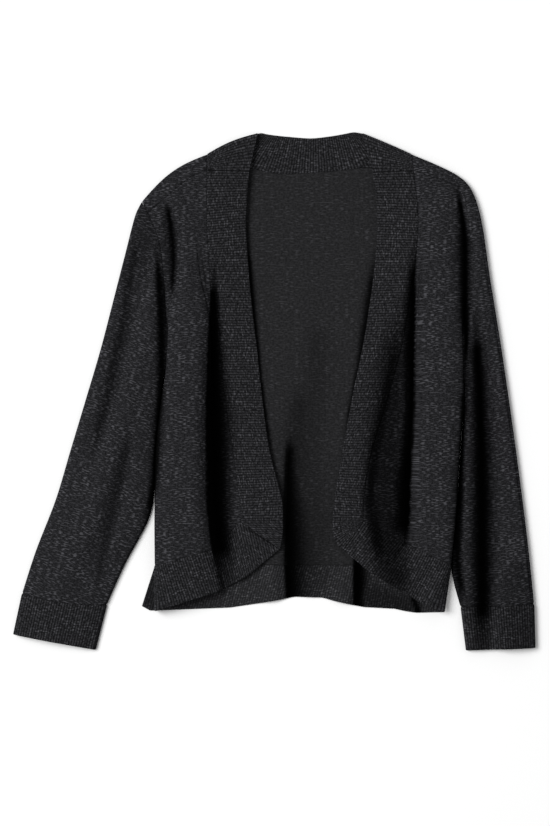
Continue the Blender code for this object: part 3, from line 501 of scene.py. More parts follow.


# Creases and closed folds. Each runs down a line of x and y in pixels, with its half widths to the picture's
# left and right of it, also in pixels. It rises or sinks by so many millimetres, and paints shade into the
# yarn's colour, 0 to 1 towards black, for the little light that gets in between the layers of a fold or under
# a raised edge; a crease that neither rises nor sinks is painted shade alone. flat says how broad and even
# its
# dark part is: about 2 in a soft trough and 4 in a closed fold.
Crease = namedtuple("Crease", "rise shut flat line")
# Painted shade in the gap between each front's side and its sleeve; the same lines shade both pieces.
BESIDE_RIGHT_SIDE = Crease(-0.4, 0.97, 3, (
    (154, 232, 1.5, 1.5), (157.5, 262, 2.5, 2.5), (160, 290, 5, 5), (161.5, 325, 5.5, 6),
    (161.5, 360, 5, 5.4), (160.6, 395, 5, 5.4), (158.4, 420, 5, 5.6), (156.4, 455, 5, 6),
    (154, 485, 5, 5.4), (149, 508, 4, 4.4), (142, 532, 2, 2),
))
BESIDE_LEFT_SIDE = (
    Crease(-1.5, 1.0, 3, (
        (455, 180, 2, 2), (461, 212, 4, 3), (464, 240, 6, 6), (464.6, 275, 6, 6), (464.6, 312, 6, 6),
        (466, 340, 3, 3), (464, 376, 1.5, 2),
    )),
    Crease(-0.4, 0.95, 3, (
        (462, 370, 1.5, 1.5), (461.6, 398, 2.4, 2.6), (461.4, 425, 3, 3), (460.4, 460, 4, 4),
        (459, 495, 5, 5), (457.8, 528, 5, 5.5), (456.8, 560, 5, 5.5), (460, 585, 4.6, 5), (465, 612, 3, 3),
    )),
)
# The wearer's right front: a sunk streak with painted shade beside the armhole, painted shade alone in the
# deep valley beside the big fold, and a sunk, darkened seam line along the mitre.
RIGHT_CREASES = (
    BESIDE_RIGHT_SIDE,
    Crease(-2.4, 0.97, 2, (
        (167, 204, 3, 2.4), (170.4, 220, 6, 4), (172.6, 238, 7, 4.4), (174, 262, 6, 4), (172, 302, 3, 3),
    )),
    Crease(0.0, 1.0, 6, (
        (213.5, 258, 2, 2), (213, 286, 3, 5), (212, 312, 3, 9), (210, 345, 3, 14), (209, 380, 3, 19),
        (208, 412, 3, 24), (208, 450, 3, 25), (208.5, 500, 3, 25), (212, 535, 3, 22), (216, 560, 3, 18),
        (225, 616, 3, 12),
    )),
    Crease(-0.5, 0.5, 3, ((243, 526, 0.9, 0.9), (261, 537, 0.9, 0.9), (278, 547.4, 0.9, 0.9))),
)
# The wearer's left front: painted shade alone in the valley under the big fold and over the strip beside it,
# and a sunk seam trough with painted shade.
LEFT_CREASES = BESIDE_LEFT_SIDE + (
    Crease(0.0, 1.0, 3.5, (
        (414, 232, 3, 2), (414.5, 262, 6, 2), (414, 284, 9, 2), (414, 305, 12, 2), (413.5, 335, 15, 2.4),
        (413.6, 370, 15, 2.4), (413.4, 405, 14, 2.4), (412.4, 432, 15, 2.4), (410.4, 460, 18, 2.4),
        (409.5, 485, 23, 2.4), (408.5, 512, 24, 3), (406, 545, 24, 3), (402, 592, 14, 3),
    )),
    Crease(-1.4, 0.9, 3, (
        (402, 298, 3, 4), (396, 345, 8, 7), (389, 380, 9, 9), (385.5, 400, 9, 9), (381.5, 420, 9, 9),
        (378, 440, 10.5, 10), (374.5, 460, 9.5, 9.5), (372, 480, 9.5, 10.5), (370.5, 502, 9.5, 11),
        (376, 530, 11, 11), (381, 562, 9, 9), (383, 600, 5, 5),
    )),
    Crease(0.0, 0.75, 3, (
        (404, 300, 8, 8), (398, 350, 18, 12), (392, 400, 20, 16), (388, 440, 22, 18), (386, 480, 22, 20),
        (387, 520, 22, 21), (391, 552, 20, 19), (396, 580, 17, 15), (400, 604, 13, 11),
    )),
)


def creased(points, creases, freedom=1.0):
    """Points moved up or down by creases, and the shade painted into the cloth at each of them. A crease's
    bell, exp(-(distance / half width) ** flat), fades over the first and the last eighth of its line."""
    points = points.copy()
    shut = np.zeros(points.shape[:2])
    rise = np.zeros(points.shape[:2])
    for crease in creases:
        line = np.array(crease.line, float)
        line = smooth(np.column_stack([to_mm(line[:, 0], line[:, 1]), line[:, 2:] * MM_PER_PIXEL]),
                      np.linspace(0, len(line) - 1, LINE_POINTS + 1))
        away = points[:, :, None, :2] - line[:, :2]
        nearest = np.linalg.norm(away, axis=-1).argmin(axis=-1)
        away = np.take_along_axis(away, nearest[..., None, None], axis=2)[:, :, 0]
        ahead = np.gradient(line[:, :2], axis=0)[nearest]
        is_left = away[..., 0] * ahead[..., 1] > away[..., 1] * ahead[..., 0]
        share = np.linalg.norm(away, axis=-1) / np.where(is_left, line[nearest, 2], line[nearest, 3])
        fade = np.clip(np.minimum(nearest, LINE_POINTS - nearest) / (LINE_POINTS / 8), 0, 1)
        rise += crease.rise * np.exp(-((share / RISE_WIDTH) ** 2)) * fade
        shut = np.maximum(shut, crease.shut * np.exp(-(share**crease.flat)) * fade)
    points[..., 2] += rise * freedom
    return points, shut


def ripples(points):
    """Small random unevenness of soft cloth: a sum of a few sine waves in plan whose directions, lengths and
    phases come from a seeded generator."""
    chance = np.random.default_rng(RIPPLE_SEED)
    total = np.zeros(points.shape[:2])
    for _ in range(WAVES):
        waves_x, waves_y = chance.normal(0, 2 / RIPPLE_WIDTH), chance.normal(0, 2 / RIPPLE_LENGTH)
        total += np.sin(points[..., 0] * waves_x + points[..., 1] * waves_y + chance.uniform(0, 6.28))
    return total * RIPPLE_HEIGHT / WAVES**0.5


def knit_places(points, grain=(0.0, 1.0), anchor=0):
    """Places on the flat knit of a draped grid, in millimetres: plan distances along the courses and the
    wales, where grain is the unit plan vector of the wales, plus what each row gains by going up and down,
    counted from the anchor column."""
    across = points[..., 0] * grain[1] - points[..., 1] * grain[0]
    along = points[..., 0] * grain[0] + points[..., 1] * grain[1]
    steps = np.diff(points, axis=1)
    gain = np.linalg.norm(steps, axis=-1) - np.linalg.norm(steps[..., :2], axis=-1)
    extra = np.concatenate([np.zeros((len(points), 1)), np.cumsum(gain, axis=1)], axis=1)
    return np.stack([across + extra - extra[:, anchor : anchor + 1], along], axis=-1)


right_drape = draped_front(RIGHT_FRONT, RIGHT_SHOULDER, RIGHT_TURN)
left_drape = draped_front(LEFT_FRONT, LEFT_SHOULDER, LEFT_TURN)

front_jersey = slub_knit("slub jersey, knitted fine, face side", "#101011", "#222224", "#3d3d40", (1.8, 1.4),
                         (5.0, 1.3), 0.57)


def make_panel(side_name, drape, side, creases):
    """A front's panel, cut from its drape between the seams of the shoulder, the hem rib and the band."""
    normals = grid_normals(drape, side)
    rows, columns = crowded(float(TOP), float(HEM), HEM - TOP), crowded(0.0, float(SEAM), SEAM)
    down, over = np.meshgrid(rows, columns, indexing="ij")
    middle = read_grid(drape, down, over)
    facing = unit(read_grid(normals, down, over))
    places = knit_places(middle)
    middle, shut = creased(middle + facing * ripples(middle)[..., None], creases)
    return knit_piece(side_name + "_front_panel", [side_name + "_front"], front_jersey, middle, facing,
                      places, sewn=("first row", "last row", "last column"), shut=shut)


right_panel = make_panel("right", right_drape, 1, RIGHT_CREASES)
left_panel = make_panel("left", left_drape, -1, LEFT_CREASES)


# ----------------------------------------------------------------------------------------------------------
# The front bands: double strips of one-by-one rib, knitted sideways, so that the ribs run across them. Each
# is linked to its panel along one edge and folded at the free one. The wearer's right one is mitred into the
# hem rib, and the left one turns the corner with its ribs fanned.

BAND_CLOTH = 1.7  # thickness of the doubled rib
RIB_PITCH = 3.1
RIB_HEIGHT = 0.55
GROOVE_WIDTH = 0.62
STEPS_PER_RIB = 8
BAND_CROWN = 0.8  # how far a band bulges between its edges
BAND_STEPS = 14
FAN_START = 0.03  # fanned ribs start this share of the way out, for at the inner corner they would all meet
MITRE_END = 0.992  # and a mitre stops at this share of the way to the edge


def rib_profile(along):
    """Height of the ribs, 0 to 1, at a distance along the strip: a narrow groove, shaped as a Gaussian, at
    each whole number of pitches, and a broad rounded rib between."""
    off = (along / RIB_PITCH + 0.5) % 1 - 0.5
    return 1 - np.exp(-((off * RIB_PITCH / GROOVE_WIDTH) ** 2))


def rib_surface(start, end, along, shares):
    """For a strip of rib from one curve to another: places on its flat knit, in millimetres along it and
    across it, and the height of its ribs, 0 to 1."""
    width = np.linalg.norm(end - start, axis=1)
    places = np.stack(np.broadcast_arrays(along[:, None], width[:, None] * shares), axis=-1)
    return places, np.broadcast_to(rib_profile(along)[:, None], places.shape[:2])


def even_places(line, spacing, steps, ring=False):
    """Fractional places along a polyline that are evenly spaced, with a whole number of spacings and so many
    steps in each, and the distance along it of each place, scaled to those spacings."""
    along = path_lengths(line)
    count = max(1, round(along[-1] / spacing))
    places = np.interp(np.linspace(0, along[-1], count * steps + 1), along, np.arange(len(line)))
    even = np.arange(count * steps + 1) * spacing / steps
    return (places[:-1], even[:-1]) if ring else (places, even)


band_rib = slub_knit("slub yarn, knitted in one-by-one rib", "#0f0f10", "#2d2d2f", "#404043", (2.2, 2.2),
                     (5.0, 1.8), 0.60)


def strip_between(start, end, shares, crown):
    """A strip from one curve to another: straight across, plus a parabola upwards."""
    share = shares[:, None]
    middle = start[:, None] + (end - start)[:, None] * share
    middle[..., 2] += crown * 4 * shares * (1 - shares)
    return middle


def make_front_band(side_name, drape, side, fanned, creases):
    """A front band between its seam and its free edge. Round the corner its ribs either stop at the mitre, or
    fan out from the inner corner."""
    rows = np.arange(TOP, END + 0.01, 0.25)
    edge = read_grid(drape, rows, np.full(len(rows), float(EDGE)))
    start = read_grid(drape, np.minimum(rows, HEM), np.full(len(rows), float(SEAM)))
    past = np.clip((rows - HEM) / (END - HEM), 0, 1)[:, None]
    if fanned:
        start = start + (edge - start) * np.where(past > 0, FAN_START, 0)
    else:
        start = start + (drape[END, EDGE] - drape[HEM, SEAM]) * past * MITRE_END
    places, along = even_places(edge if fanned else (start + edge) / 2, RIB_PITCH, STEPS_PER_RIB)
    start, edge = read_line(start, places), read_line(edge, places)
    shares = crowded(0.0, 1.0, BAND_STEPS)
    middle, shut = creased(strip_between(start, edge, shares, BAND_CROWN), creases)
    facing = grid_normals(middle, side)
    uv, relief = rib_surface(start, edge, along, shares)
    height = BAND_CLOTH / 2 + RIB_HEIGHT * (relief - 0.5)
    return knit_piece(side_name + "_band", [side_name + "_front_band"], band_rib, middle, facing, uv, height,
                      height, sewn=("first row", "first column"), relief=relief, shut=shut)


right_band = make_front_band("right", right_drape, 1, False, RIGHT_CREASES)
left_band = make_front_band("left", left_drape, -1, True, LEFT_CREASES)


# ----------------------------------------------------------------------------------------------------------
# The fronts' hem ribs: the same rib knitted downwards from the panel, with ribs that run down to the edge. It
# follows the panel over the big fold, and its open end shows at the hem.

HEM_STEPS = 16
HEM_LEAN = 1.3  # the power by which ribs lean towards the corner
RIB_BODY = 0.2  # what ribs add to half the jersey's thickness


def make_front_hem(side_name, drape, side, fanned, creases):
    """A front's hem rib between the panel's lower seam and the hem's edge. Its ribs lean a little towards the
    corner: a share of the edge, to a power, meets that share of the seam and of the mitre."""
    columns = np.arange(0, EDGE + 0.01, 0.25)
    low = read_grid(drape, np.full(len(columns), float(END)), columns)
    seam = read_grid(drape, np.full(len(columns), float(HEM)), np.minimum(columns, SEAM))
    if fanned:
        seam = seam[columns <= SEAM]
    else:
        past = np.clip((columns - SEAM) / (EDGE - SEAM), 0, 1)[:, None]
        seam = seam + (drape[END, EDGE] - drape[HEM, SEAM]) * past * MITRE_END
    share = (path_lengths(low) / path_lengths(low)[-1]) ** HEM_LEAN
    seam_share = path_lengths(seam) / path_lengths(seam)[-1]
    start = read_line(seam, share, seam_share)
    places, along = even_places((start + low) / 2, RIB_PITCH, STEPS_PER_RIB)
    start, low = read_line(start, places), read_line(low, places)
    shares = crowded(0.0, 1.0, HEM_STEPS)
    middle, shut = creased(strip_between(start, low, shares, 0.0).swapaxes(0, 1), creases)
    facing = grid_normals(middle, side)
    uv, relief = (grid.swapaxes(0, 1) for grid in rib_surface(start, low, along, shares))
    height = CLOTH / 2 + RIB_BODY + RIB_HEIGHT * (relief - 0.5)
    return knit_piece(side_name + "_hem", [side_name + "_front_hem_rib"], band_rib, middle, facing, uv,
                      height, height, sewn=("first row",), relief=relief, shut=shut)


right_hem = make_front_hem("right", right_drape, 1, False, RIGHT_CREASES)
left_hem = make_front_hem("left", left_drape, -1, True, LEFT_CREASES)


# ----------------------------------------------------------------------------------------------------------
# The back: one panel of the same jersey, seen from inside, between the fronts. It rolls over both shoulders
# to the forward seams, lies flat on the table, and has a few soft folds that run up from its hem.

# The neck band behind the neck: each row is a section across it, seam to free edge, in pixels
NeckRow = namedtuple("NeckRow", "seam_x seam_y edge_x edge_y")
BACK_NECK = (
    NeckRow(*RIGHT_SHOULDER.seam, *RIGHT_SHOULDER.edge),
    NeckRow(222, 161, 262, 133.6),
    NeckRow(238, 165, 267, 134.4),
    NeckRow(256, 169.8, 275, 135.6),
    NeckRow(280, 174.2, 289, 137),
    NeckRow(310, 173, 311, 138.5),
    NeckRow(336, 171, 331, 136.4),
    NeckRow(357, 168.6, 345, 134),
    NeckRow(377, 166.4, 352.4, 132.6),
    NeckRow(395, 161.6, 357.8, 133.2),
    NeckRow(*LEFT_SHOULDER.seam, *LEFT_SHOULDER.edge),
)
# The soft folds inside the back, each a ridge along the body: x and y at its upper and lower ends in pixels,
# its half width in pixels, and its heights at the two ends in millimetres
BackFold = namedtuple("BackFold", "x_top y_top x_low y_low half_width z_top z_low")
BACK_FOLDS = (
    BackFold(271, 470, 273, 600, 13, 0.6, 4.6),
    BackFold(345, 548, 341, 604, 13, 0.5, 4.4),
    BackFold(306, 300, 312, 470, 11, 0.6, 1.8),
)
NECK_STEPS = 84
BACK_FOLD_END = 0.3  # a soft fold fades out above its upper end, over this share of its length
BACK_FOLD_FALL = 1.6  # how sharply it falls off sideways


def back_height(points):
    """Height of the back where it rests, plus its folds: for each a Gaussian of the distance to its line."""
    height = np.full(points.shape[:-1], RESTING)
    for fold in BACK_FOLDS:
        top, low = to_mm(fold.x_top, fold.y_top), to_mm(fold.x_low, fold.y_low)
        down = np.clip((top[1] - points[..., 1]) / (top[1] - low[1]), -BACK_FOLD_END, 1)
        middle = top[0] + (low[0] - top[0]) * down
        off = (points[..., 0] - middle) / (fold.half_width * MM_PER_PIXEL)
        rise = np.interp(down, [-BACK_FOLD_END, 0, 1], [0, fold.z_top, fold.z_low])
        height = height + rise * np.exp(-(off**2) * BACK_FOLD_FALL)
    return height


def neck_curves():
    """The neck band's seam and free edge behind the neck, as smooth plan curves through its table."""
    rows = np.array(BACK_NECK)
    places = np.linspace(0, len(rows) - 1, NECK_STEPS + 1)
    return smooth(to_mm(rows[:, 0], rows[:, 1]), places), smooth(to_mm(rows[:, 2], rows[:, 3]), places)


def fold_drop(points, shoulder):
    """How far a layer on the table rises where it nears the shoulder's fold, as a part of a circle."""
    inside = np.clip((to_mm(*shoulder.seam) - points) @ up_from_fold(shoulder), 0, SHOULDER_RADIUS)
    return SHOULDER_RADIUS - np.sqrt(SHOULDER_RADIUS**2 - (SHOULDER_RADIUS - inside) ** 2)


back_jersey = slub_knit("slub jersey, knitted fine, reverse side", "#181819", "#222223", "#2e2e30",
                        (2.6, 2.2), (6.0, 1.4), 0.62)
# Painted shade on the back, none of it moving the cloth: in and beside its soft folds, at its flared side and
# along its hem, and as the shadows along the bands' free edges.
BACK_CREASES = (
    Crease(0.0, 0.22, 2.5, ((320, 320, 12, 12), (314, 380, 16, 16), (306, 430, 18, 18), (300, 480, 18, 18))),
    Crease(0.0, 0.45, 2, (
        (302, 380, 10, 10), (297, 430, 12, 18), (296, 480, 11, 24), (300, 540, 14, 28), (304, 610, 14, 26),
    )),
    Crease(0.0, 1.0, 2.5, (
        (291, 424, 4, 7), (287.6, 455, 4, 11), (286, 485, 3.4, 17), (285.4, 515, 3, 25), (285.4, 545, 3, 29),
        (286, 570, 3, 28), (287, 595, 3, 26), (288, 640, 3, 24),
    )),
    Crease(0.0, 0.45, 3, ((147, 556, 8, 8), (148, 580, 8, 8), (148, 640, 8, 8))),
    Crease(0.0, 1.0, 4, (
        (352, 536, 2, 4), (355, 557, 2.4, 10), (355, 578, 3, 15), (355, 596, 3, 12), (355, 622, 3, 12),
    )),
    Crease(0.0, 0.6, 3, (
        (350, 590, 18, 18), (366, 596, 18, 18), (385, 602, 18, 18), (404, 608, 16, 16), (424, 612, 12, 12),
    )),
    Crease(0.0, 0.97, 3, ((410, 594, 2, 2), (415, 603, 4, 4), (417.5, 610, 4.4, 4.4), (419, 624, 4.4, 4.4))),
    Crease(0.0, 0.9, 3, (
        (375, 245, 2, 1.5), (373, 280, 6, 2), (370.5, 300, 7, 2), (368, 320, 7, 2), (364, 340, 6, 2),
        (361, 360, 5, 2), (356, 385, 4, 2), (350, 412, 3, 2), (341, 460, 2, 2),
    )),
    Crease(0.0, 0.9, 3, (
        (246, 210, 2, 2), (248, 258, 2, 3.6), (249.5, 280, 2, 4.6), (251, 300, 2, 5), (252.6, 320, 2, 5),
        (255, 340, 2, 4), (258, 364, 2, 3), (262.6, 400, 2, 2.4), (269, 440, 2, 2), (280, 498, 2, 1.6),
    )),
)

PANEL_COLUMNS = np.arange(0, SEAM + 1, 3)
right_side, left_side = right_drape[:, PANEL_COLUMNS], left_drape[:, PANEL_COLUMNS[::-1]]
neck_seam, neck_edge = neck_curves()
back_inner = neck_seam[1:-1]
back_top = np.concatenate([right_side[0, :, :2], back_inner, left_side[0, :, :2]])
neck_columns = slice(len(PANEL_COLUMNS), len(PANEL_COLUMNS) + len(back_inner))
right_columns, left_columns = slice(0, neck_columns.start), slice(neck_columns.stop, None)
back_share = (back_top[:, 0] - back_top[0, 0]) / (back_top[-1, 0] - back_top[0, 0])
back_chord = back_top[0] + (back_top[-1] - back_top[0]) * back_share[:, None]
firsts, lasts = right_side[: HEM + 1, 0, :2], left_side[: HEM + 1, -1, :2]
hold = np.clip((firsts[:, 1] - firsts[UNDERARM, 1]) / (firsts[0, 1] - firsts[UNDERARM, 1]), 0, 1)
back_plan = firsts[:, None] + (lasts - firsts)[:, None] * back_share[:, None]
back_plan = back_plan + (back_top - back_chord) * hold[:, None, None]
back_grid = np.concatenate([back_plan, back_height(back_plan)[..., None]], axis=-1)
folds = slice(0, FOLD_STEPS + 1)
turns = np.linspace(0, np.pi / 2, FOLD_STEPS + 1)
for columns, source in ((right_columns, right_side), (left_columns, left_side)):
    back_grid[folds, columns, :2] = source[folds, :, :2]
    back_grid[folds, columns, 2] = RESTING + SHOULDER_RADIUS * (1 - np.sin(turns))[:, None]
neck_top = back_grid[:TOP, neck_columns, :2]
neck_rise = fold_drop(neck_top, RIGHT_SHOULDER) + fold_drop(neck_top, LEFT_SHOULDER)
back_grid[:TOP, neck_columns, 2] = RESTING + neck_rise
turned = np.repeat(back_grid[:1], TOP, axis=0)
turned[:, right_columns] = right_side[TOP:0:-1]
turned[:, left_columns] = left_side[TOP:0:-1]
back_whole = np.concatenate([turned, back_grid])
back_missing = np.zeros((back_whole.shape[0] - 1, back_whole.shape[1] - 1), bool)
back_missing[:TOP, neck_columns.start - 1 : neck_columns.stop] = True
back_facing = np.zeros(back_whole.shape)
for columns in (right_columns, left_columns):
    back_facing[:, columns] = grid_normals(back_whole[:, columns], 1)
    back_whole[: TOP + 1, columns] = pull_in(back_whole[: TOP + 1, columns], ("first row", "last column"))
back_facing[TOP:, neck_columns] = grid_normals(back_grid, 1)[:, neck_columns]
back_whole, back_painted_shade = creased(back_whole, BACK_CREASES)
back = knit_piece("back_panel", ["back"], back_jersey, back_whole, back_facing, knit_places(back_whole),
                  missing=back_missing, shut=back_painted_shade, other_side=front_jersey)


# ----------------------------------------------------------------------------------------------------------
# The back's hem rib: one-by-one rib that lies on the table and shows its reverse side between the fronts. It
# flares a little at the wearer's right side, and the back's soft folds run out through its edge.

# Its lower edge from the right side to the left, in pixels
BACK_HEM_EDGE = (
    (142, 606), (150, 610.4), (173, 609.8), (200, 608.6), (230, 607.4), (257, 603.4), (282, 599.2),
    (294, 596.6), (322, 597.4), (335, 601), (352, 604.8), (364, 607), (394, 608.6), (406, 611.2),
    (416, 612.6), (444, 612),
)
BACK_HEM_STEPS = 12
BACK_RIB_HEIGHT = 0.35  # it rests on the table, so its ribs stand up on the upper side alone

back_hem_rib = slub_knit("slub yarn, knitted in one-by-one rib, reverse side", "#181819", "#2d2d2f",
                         "#414143", (2.2, 2.2), (5.0, 1.8), 0.60)
hem_top = back_grid[-1]
hem_edge = np.array(BACK_HEM_EDGE, float)
edge_share = (hem_edge[:, 0] - hem_edge[0, 0]) / (hem_edge[-1, 0] - hem_edge[0, 0])
top_share = (hem_top[:, 0] - hem_top[0, 0]) / (hem_top[-1, 0] - hem_top[0, 0])
hem_low = to_mm(*read_line(hem_edge, top_share, edge_share).T)
places, along = even_places((hem_top[:, :2] + hem_low) / 2, RIB_PITCH, STEPS_PER_RIB)
start, end = read_line(hem_top[:, :2], places), read_line(hem_low, places)
shares = crowded(0.0, 1.0, BACK_HEM_STEPS)
plan = (start[:, None] + (end - start)[:, None] * shares[:, None]).swapaxes(0, 1)
middle, shut = creased(np.concatenate([plan, back_height(plan)[..., None]], axis=-1), BACK_CREASES)
facing = grid_normals(middle, 1)
facing *= np.sign(facing[..., 2:])
uv, relief = (grid.swapaxes(0, 1) for grid in rib_surface(start, end, along, shares))
back_hem = knit_piece("back_hem", ["back_hem_rib"], back_hem_rib, middle, facing, uv,
                      CLOTH / 2 + RIB_BODY + BACK_RIB_HEIGHT * (relief - 0.5), CLOTH / 2, sewn=("first row",),
                      relief=relief, shut=shut)


# ----------------------------------------------------------------------------------------------------------
# The neck band: the front bands' rib carried on over the shoulders and behind the neck, where its inside
# shows. It starts at each forward shoulder seam, rolls over the shoulder with the back and lies on the table.

rows = np.linspace(0, 1, BAND_COLUMNS + 1)
behind_plan = neck_seam[1:-1, None] + (neck_edge - neck_seam)[1:-1, None] * rows[:, None]
behind_rise = fold_drop(behind_plan, RIGHT_SHOULDER) + fold_drop(behind_plan, LEFT_SHOULDER)
behind = np.concatenate([behind_plan, (RESTING + behind_rise)[..., None]], axis=-1)
neck_whole = np.concatenate([right_drape[TOP::-1, SEAM:], behind, left_drape[: TOP + 1, SEAM:]])
neck_facing = grid_normals(neck_whole, -1)
places, along = even_places(neck_whole[:, BAND_COLUMNS // 2], RIB_PITCH, STEPS_PER_RIB)
columns = crowded(0.0, float(BAND_COLUMNS), BAND_STEPS)
down, over = np.meshgrid(places, columns, indexing="ij")
middle = read_grid(neck_whole, down, over)
facing = unit(read_grid(neck_facing, down, over))
in_front = ((places < TOP) | (places > len(neck_whole) - 1 - TOP))[:, None]
uv, relief = rib_surface(middle[:, 0], middle[:, -1], along, columns / BAND_COLUMNS)
raised = BAND_CLOTH / 2 + RIB_HEIGHT * (relief - 0.5)
neck = knit_piece("neck_band_rib", ["neck_band"], band_rib, middle, facing, uv,
                  np.where(in_front, raised, BAND_CLOTH / 2), np.where(in_front, BAND_CLOTH / 2, raised),
                  sewn=("first row", "last row", "first column"), relief=relief)


# ----------------------------------------------------------------------------------------------------------
# The sleeves: tapered tubes of slub jersey, set in at the armholes. Each lies flat with a fold along its
# outer edge and one along its inner edge, and sags between them into two long troughs.

SLEEVE_STEPS = 14  # cells along a sleeve for each row of its table
OUTLINE_POINTS = 240
UNDERARM_RADIUS = 2.0
SIDE_CLEARANCE = 0.8  # from the front's side to the sleeve's inner fold
ARMHOLE_EASE = 0.35  # the sleeve starts this far from the armhole, which crosses it at a slant
CROWN_START = 7.5  # a row's height counts from this one, as the crown of the sleeve between its folds
TROUGH_PLACES = (0.24, 0.64)  # across the sleeve, from its outer edge
TROUGH_WIDTH = 0.11
FREE_HEIGHT = 6.0  # creases move only the cloth above this height, in full from twice as high
SHADE_HEIGHT = 5.0  # and darken it in full from this height up
SleeveRow = namedtuple("SleeveRow", "outer_x outer_y inner_x inner_y height trough_1 trough_2")
RIGHT_SLEEVE = (
    SleeveRow(136.6, 214, 175, 351, 11, 0.5, 0.0),
    SleeveRow(132.0, 230, 175, 358, 12, 2.0, 0.0),
    SleeveRow(127.0, 250, 175, 366, 13, 3.0, 0.0),
    SleeveRow(120.6, 275, 175, 376, 14, 4.0, 0.0),
    SleeveRow(114.2, 300, 175, 389, 14, 4.5, 0.0),
    SleeveRow(101.2, 350, 175, 420, 15, 5.0, 0.5),
    SleeveRow(86.4, 400, 175, 454, 16, 5.0, 2.0),
    SleeveRow(71.4, 450, 175, 488, 16, 3.0, 4.5),
    SleeveRow(56.4, 500, 148, 520, 16, 1.0, 5.0),
    SleeveRow(37.0, 550, 124.4, 565, 15, 0.5, 3.0),
    SleeveRow(23.0, 593, 106.6, 604.4, 14, 0.0, 1.0),
)
LEFT_SLEEVE = (
    SleeveRow(463.0, 180.8, 450, 350, 10, 0.0, 0.5),
    SleeveRow(471.0, 191, 450, 355, 10, 0.0, 1.0),
    SleeveRow(477.6, 208, 450, 361, 11, 0.0, 1.5),
    SleeveRow(482.2, 229, 450, 368, 12, 0.0, 2.0),
    SleeveRow(485.6, 252, 450, 377, 13, 0.0, 2.5),
    SleeveRow(489.6, 280, 450, 388, 14, 0.0, 3.5),
    SleeveRow(499.6, 342, 450, 418, 15, 1.0, 5.0),
    SleeveRow(507.6, 396, 450, 451, 16, 1.5, 6.5),
    SleeveRow(514.6, 446, 450, 488, 16, 1.0, 7.0),
    SleeveRow(521.2, 496, 450, 525, 16, 0.5, 7.0),
    SleeveRow(527.8, 550, 450, 566, 15, 0.5, 6.0),
    SleeveRow(533.2, 603.6, 460.6, 606.4, 14, 0.0, 5.0),
)
CuffEnd = namedtuple("CuffEnd", "outer_x outer_y inner_x inner_y")
RIGHT_CUFF_END = CuffEnd(14.2, 634, 95.2, 649.4)
LEFT_CUFF_END = CuffEnd(534.4, 647.4, 466, 650)


def across_path(path):
    """Unit vectors square to a plan path at each of its points, to the left of its direction."""
    along = unit(np.gradient(path, axis=0))
    return np.column_stack([-along[:, 1], along[:, 0]])


def sleeve_rings(front, table):
    """A sleeve's tube from the armhole down, one ring for each row of its table. Each ring runs from the
    outer fold over the top to the inner fold, and back along the table; each of its points starts at a row of
    the front's armhole and keeps its distances along and across the outer edge in proportion down to the
    cuff."""
    armhole = front[: UNDERARM + 1, 0]
    body_side = front[UNDERARM : END + 1, 0]
    side = np.sign(table[-1].inner_x - table[-1].outer_x)
    outers = to_mm([row.outer_x for row in table], [row.outer_y for row in table])
    inners = to_mm([row.inner_x for row in table], [row.inner_y for row in table])
    limits = np.interp(-inners[:, 1], -body_side[:, 1], body_side[:, 0]) - side * SIDE_CLEARANCE
    inners[:, 0] = side * np.minimum(side * inners[:, 0], side * limits)
    edge = smooth(np.concatenate([armhole[:1, :2], outers]), np.linspace(0, len(outers), OUTLINE_POINTS))
    edge_length = path_lengths(edge)
    into = side * across_path(edge)

    def beside_edge(length, depth):
        """Plan position at a length along the outer edge and a depth square to it."""
        square = unit(read_line(into, length, edge_length))
        return read_line(edge, length, edge_length) + square * np.asarray(depth)[..., None]

    nearest = np.linalg.norm(armhole[:, None, :2] - edge, axis=2).argmin(axis=1)
    nearest[0] = 0
    first_length = edge_length[nearest]
    first_depth = ((armhole[:, :2] - edge[nearest]) * into[nearest]).sum(axis=1)
    share = path_lengths(armhole[:, :2])
    share = share / share[-1]
    last_depth = share * np.linalg.norm(inners[-1] - outers[-1])
    inner_start = armhole[-1, :2] + unit(body_side[8, :2] - body_side[0, :2]) * UNDERARM_RADIUS
    inner_start[0] -= side * (CLOTH / 2 + SEAM_GAP)
    inner_in = -side * across_path(np.concatenate([inner_start[None], inners]))[1:]
    bends = np.linspace(0, np.pi / 2, FOLD_STEPS + 1)
    folded = len(bends)
    under = armhole[1:].copy()
    under[:, 2] = RESTING
    under[: folded - 1, 2] = RESTING + SHOULDER_RADIUS * (1 - np.sin(bends[1:]))
    inner_fold = np.append(inner_start, RESTING + UNDERARM_RADIUS)
    rings = [np.concatenate([armhole, inner_fold[None], under[::-1]])]
    high, low = RESTING + 2 * SHOULDER_RADIUS, RESTING + 2 * UNDERARM_RADIUS
    ring_share = path_lengths(np.concatenate([armhole[:1, :2], outers]))[1:]
    for row, inner, back_in, down in zip(table, inners, inner_in, ring_share / ring_share[-1]):
        length = first_length + (edge_length[-1] - first_length) * down
        depth = first_depth + (last_depth - first_depth) * down
        plan = beside_edge(length, depth)
        plan = plan + (share**2)[:, None] * (inner - plan[-1])
        plan[:folded] = beside_edge(length[:folded], SHOULDER_RADIUS * (1 - np.cos(bends)))
        plan[-1] = inner + back_in * UNDERARM_RADIUS
        top = high + (low - high) * share**2 + (row.height - CROWN_START) * np.sin(np.pi * share) ** 0.8
        for place, sag in zip(TROUGH_PLACES, (row.trough_1, row.trough_2)):
            top = top - sag * np.exp(-(((share - place) / TROUGH_WIDTH) ** 2))
        top[:folded] = RESTING + SHOULDER_RADIUS * (1 + np.sin(bends))
        top[-1] = low
        bottom = np.full(len(share), RESTING)
        bottom[:folded] = RESTING + SHOULDER_RADIUS * (1 - np.sin(bends))
        upper = np.column_stack([plan, top])
        lower = np.column_stack([plan, bottom])[:0:-1]
        rings.append(np.concatenate([upper, np.append(inner, RESTING + UNDERARM_RADIUS)[None], lower]))
    return np.array(rings)
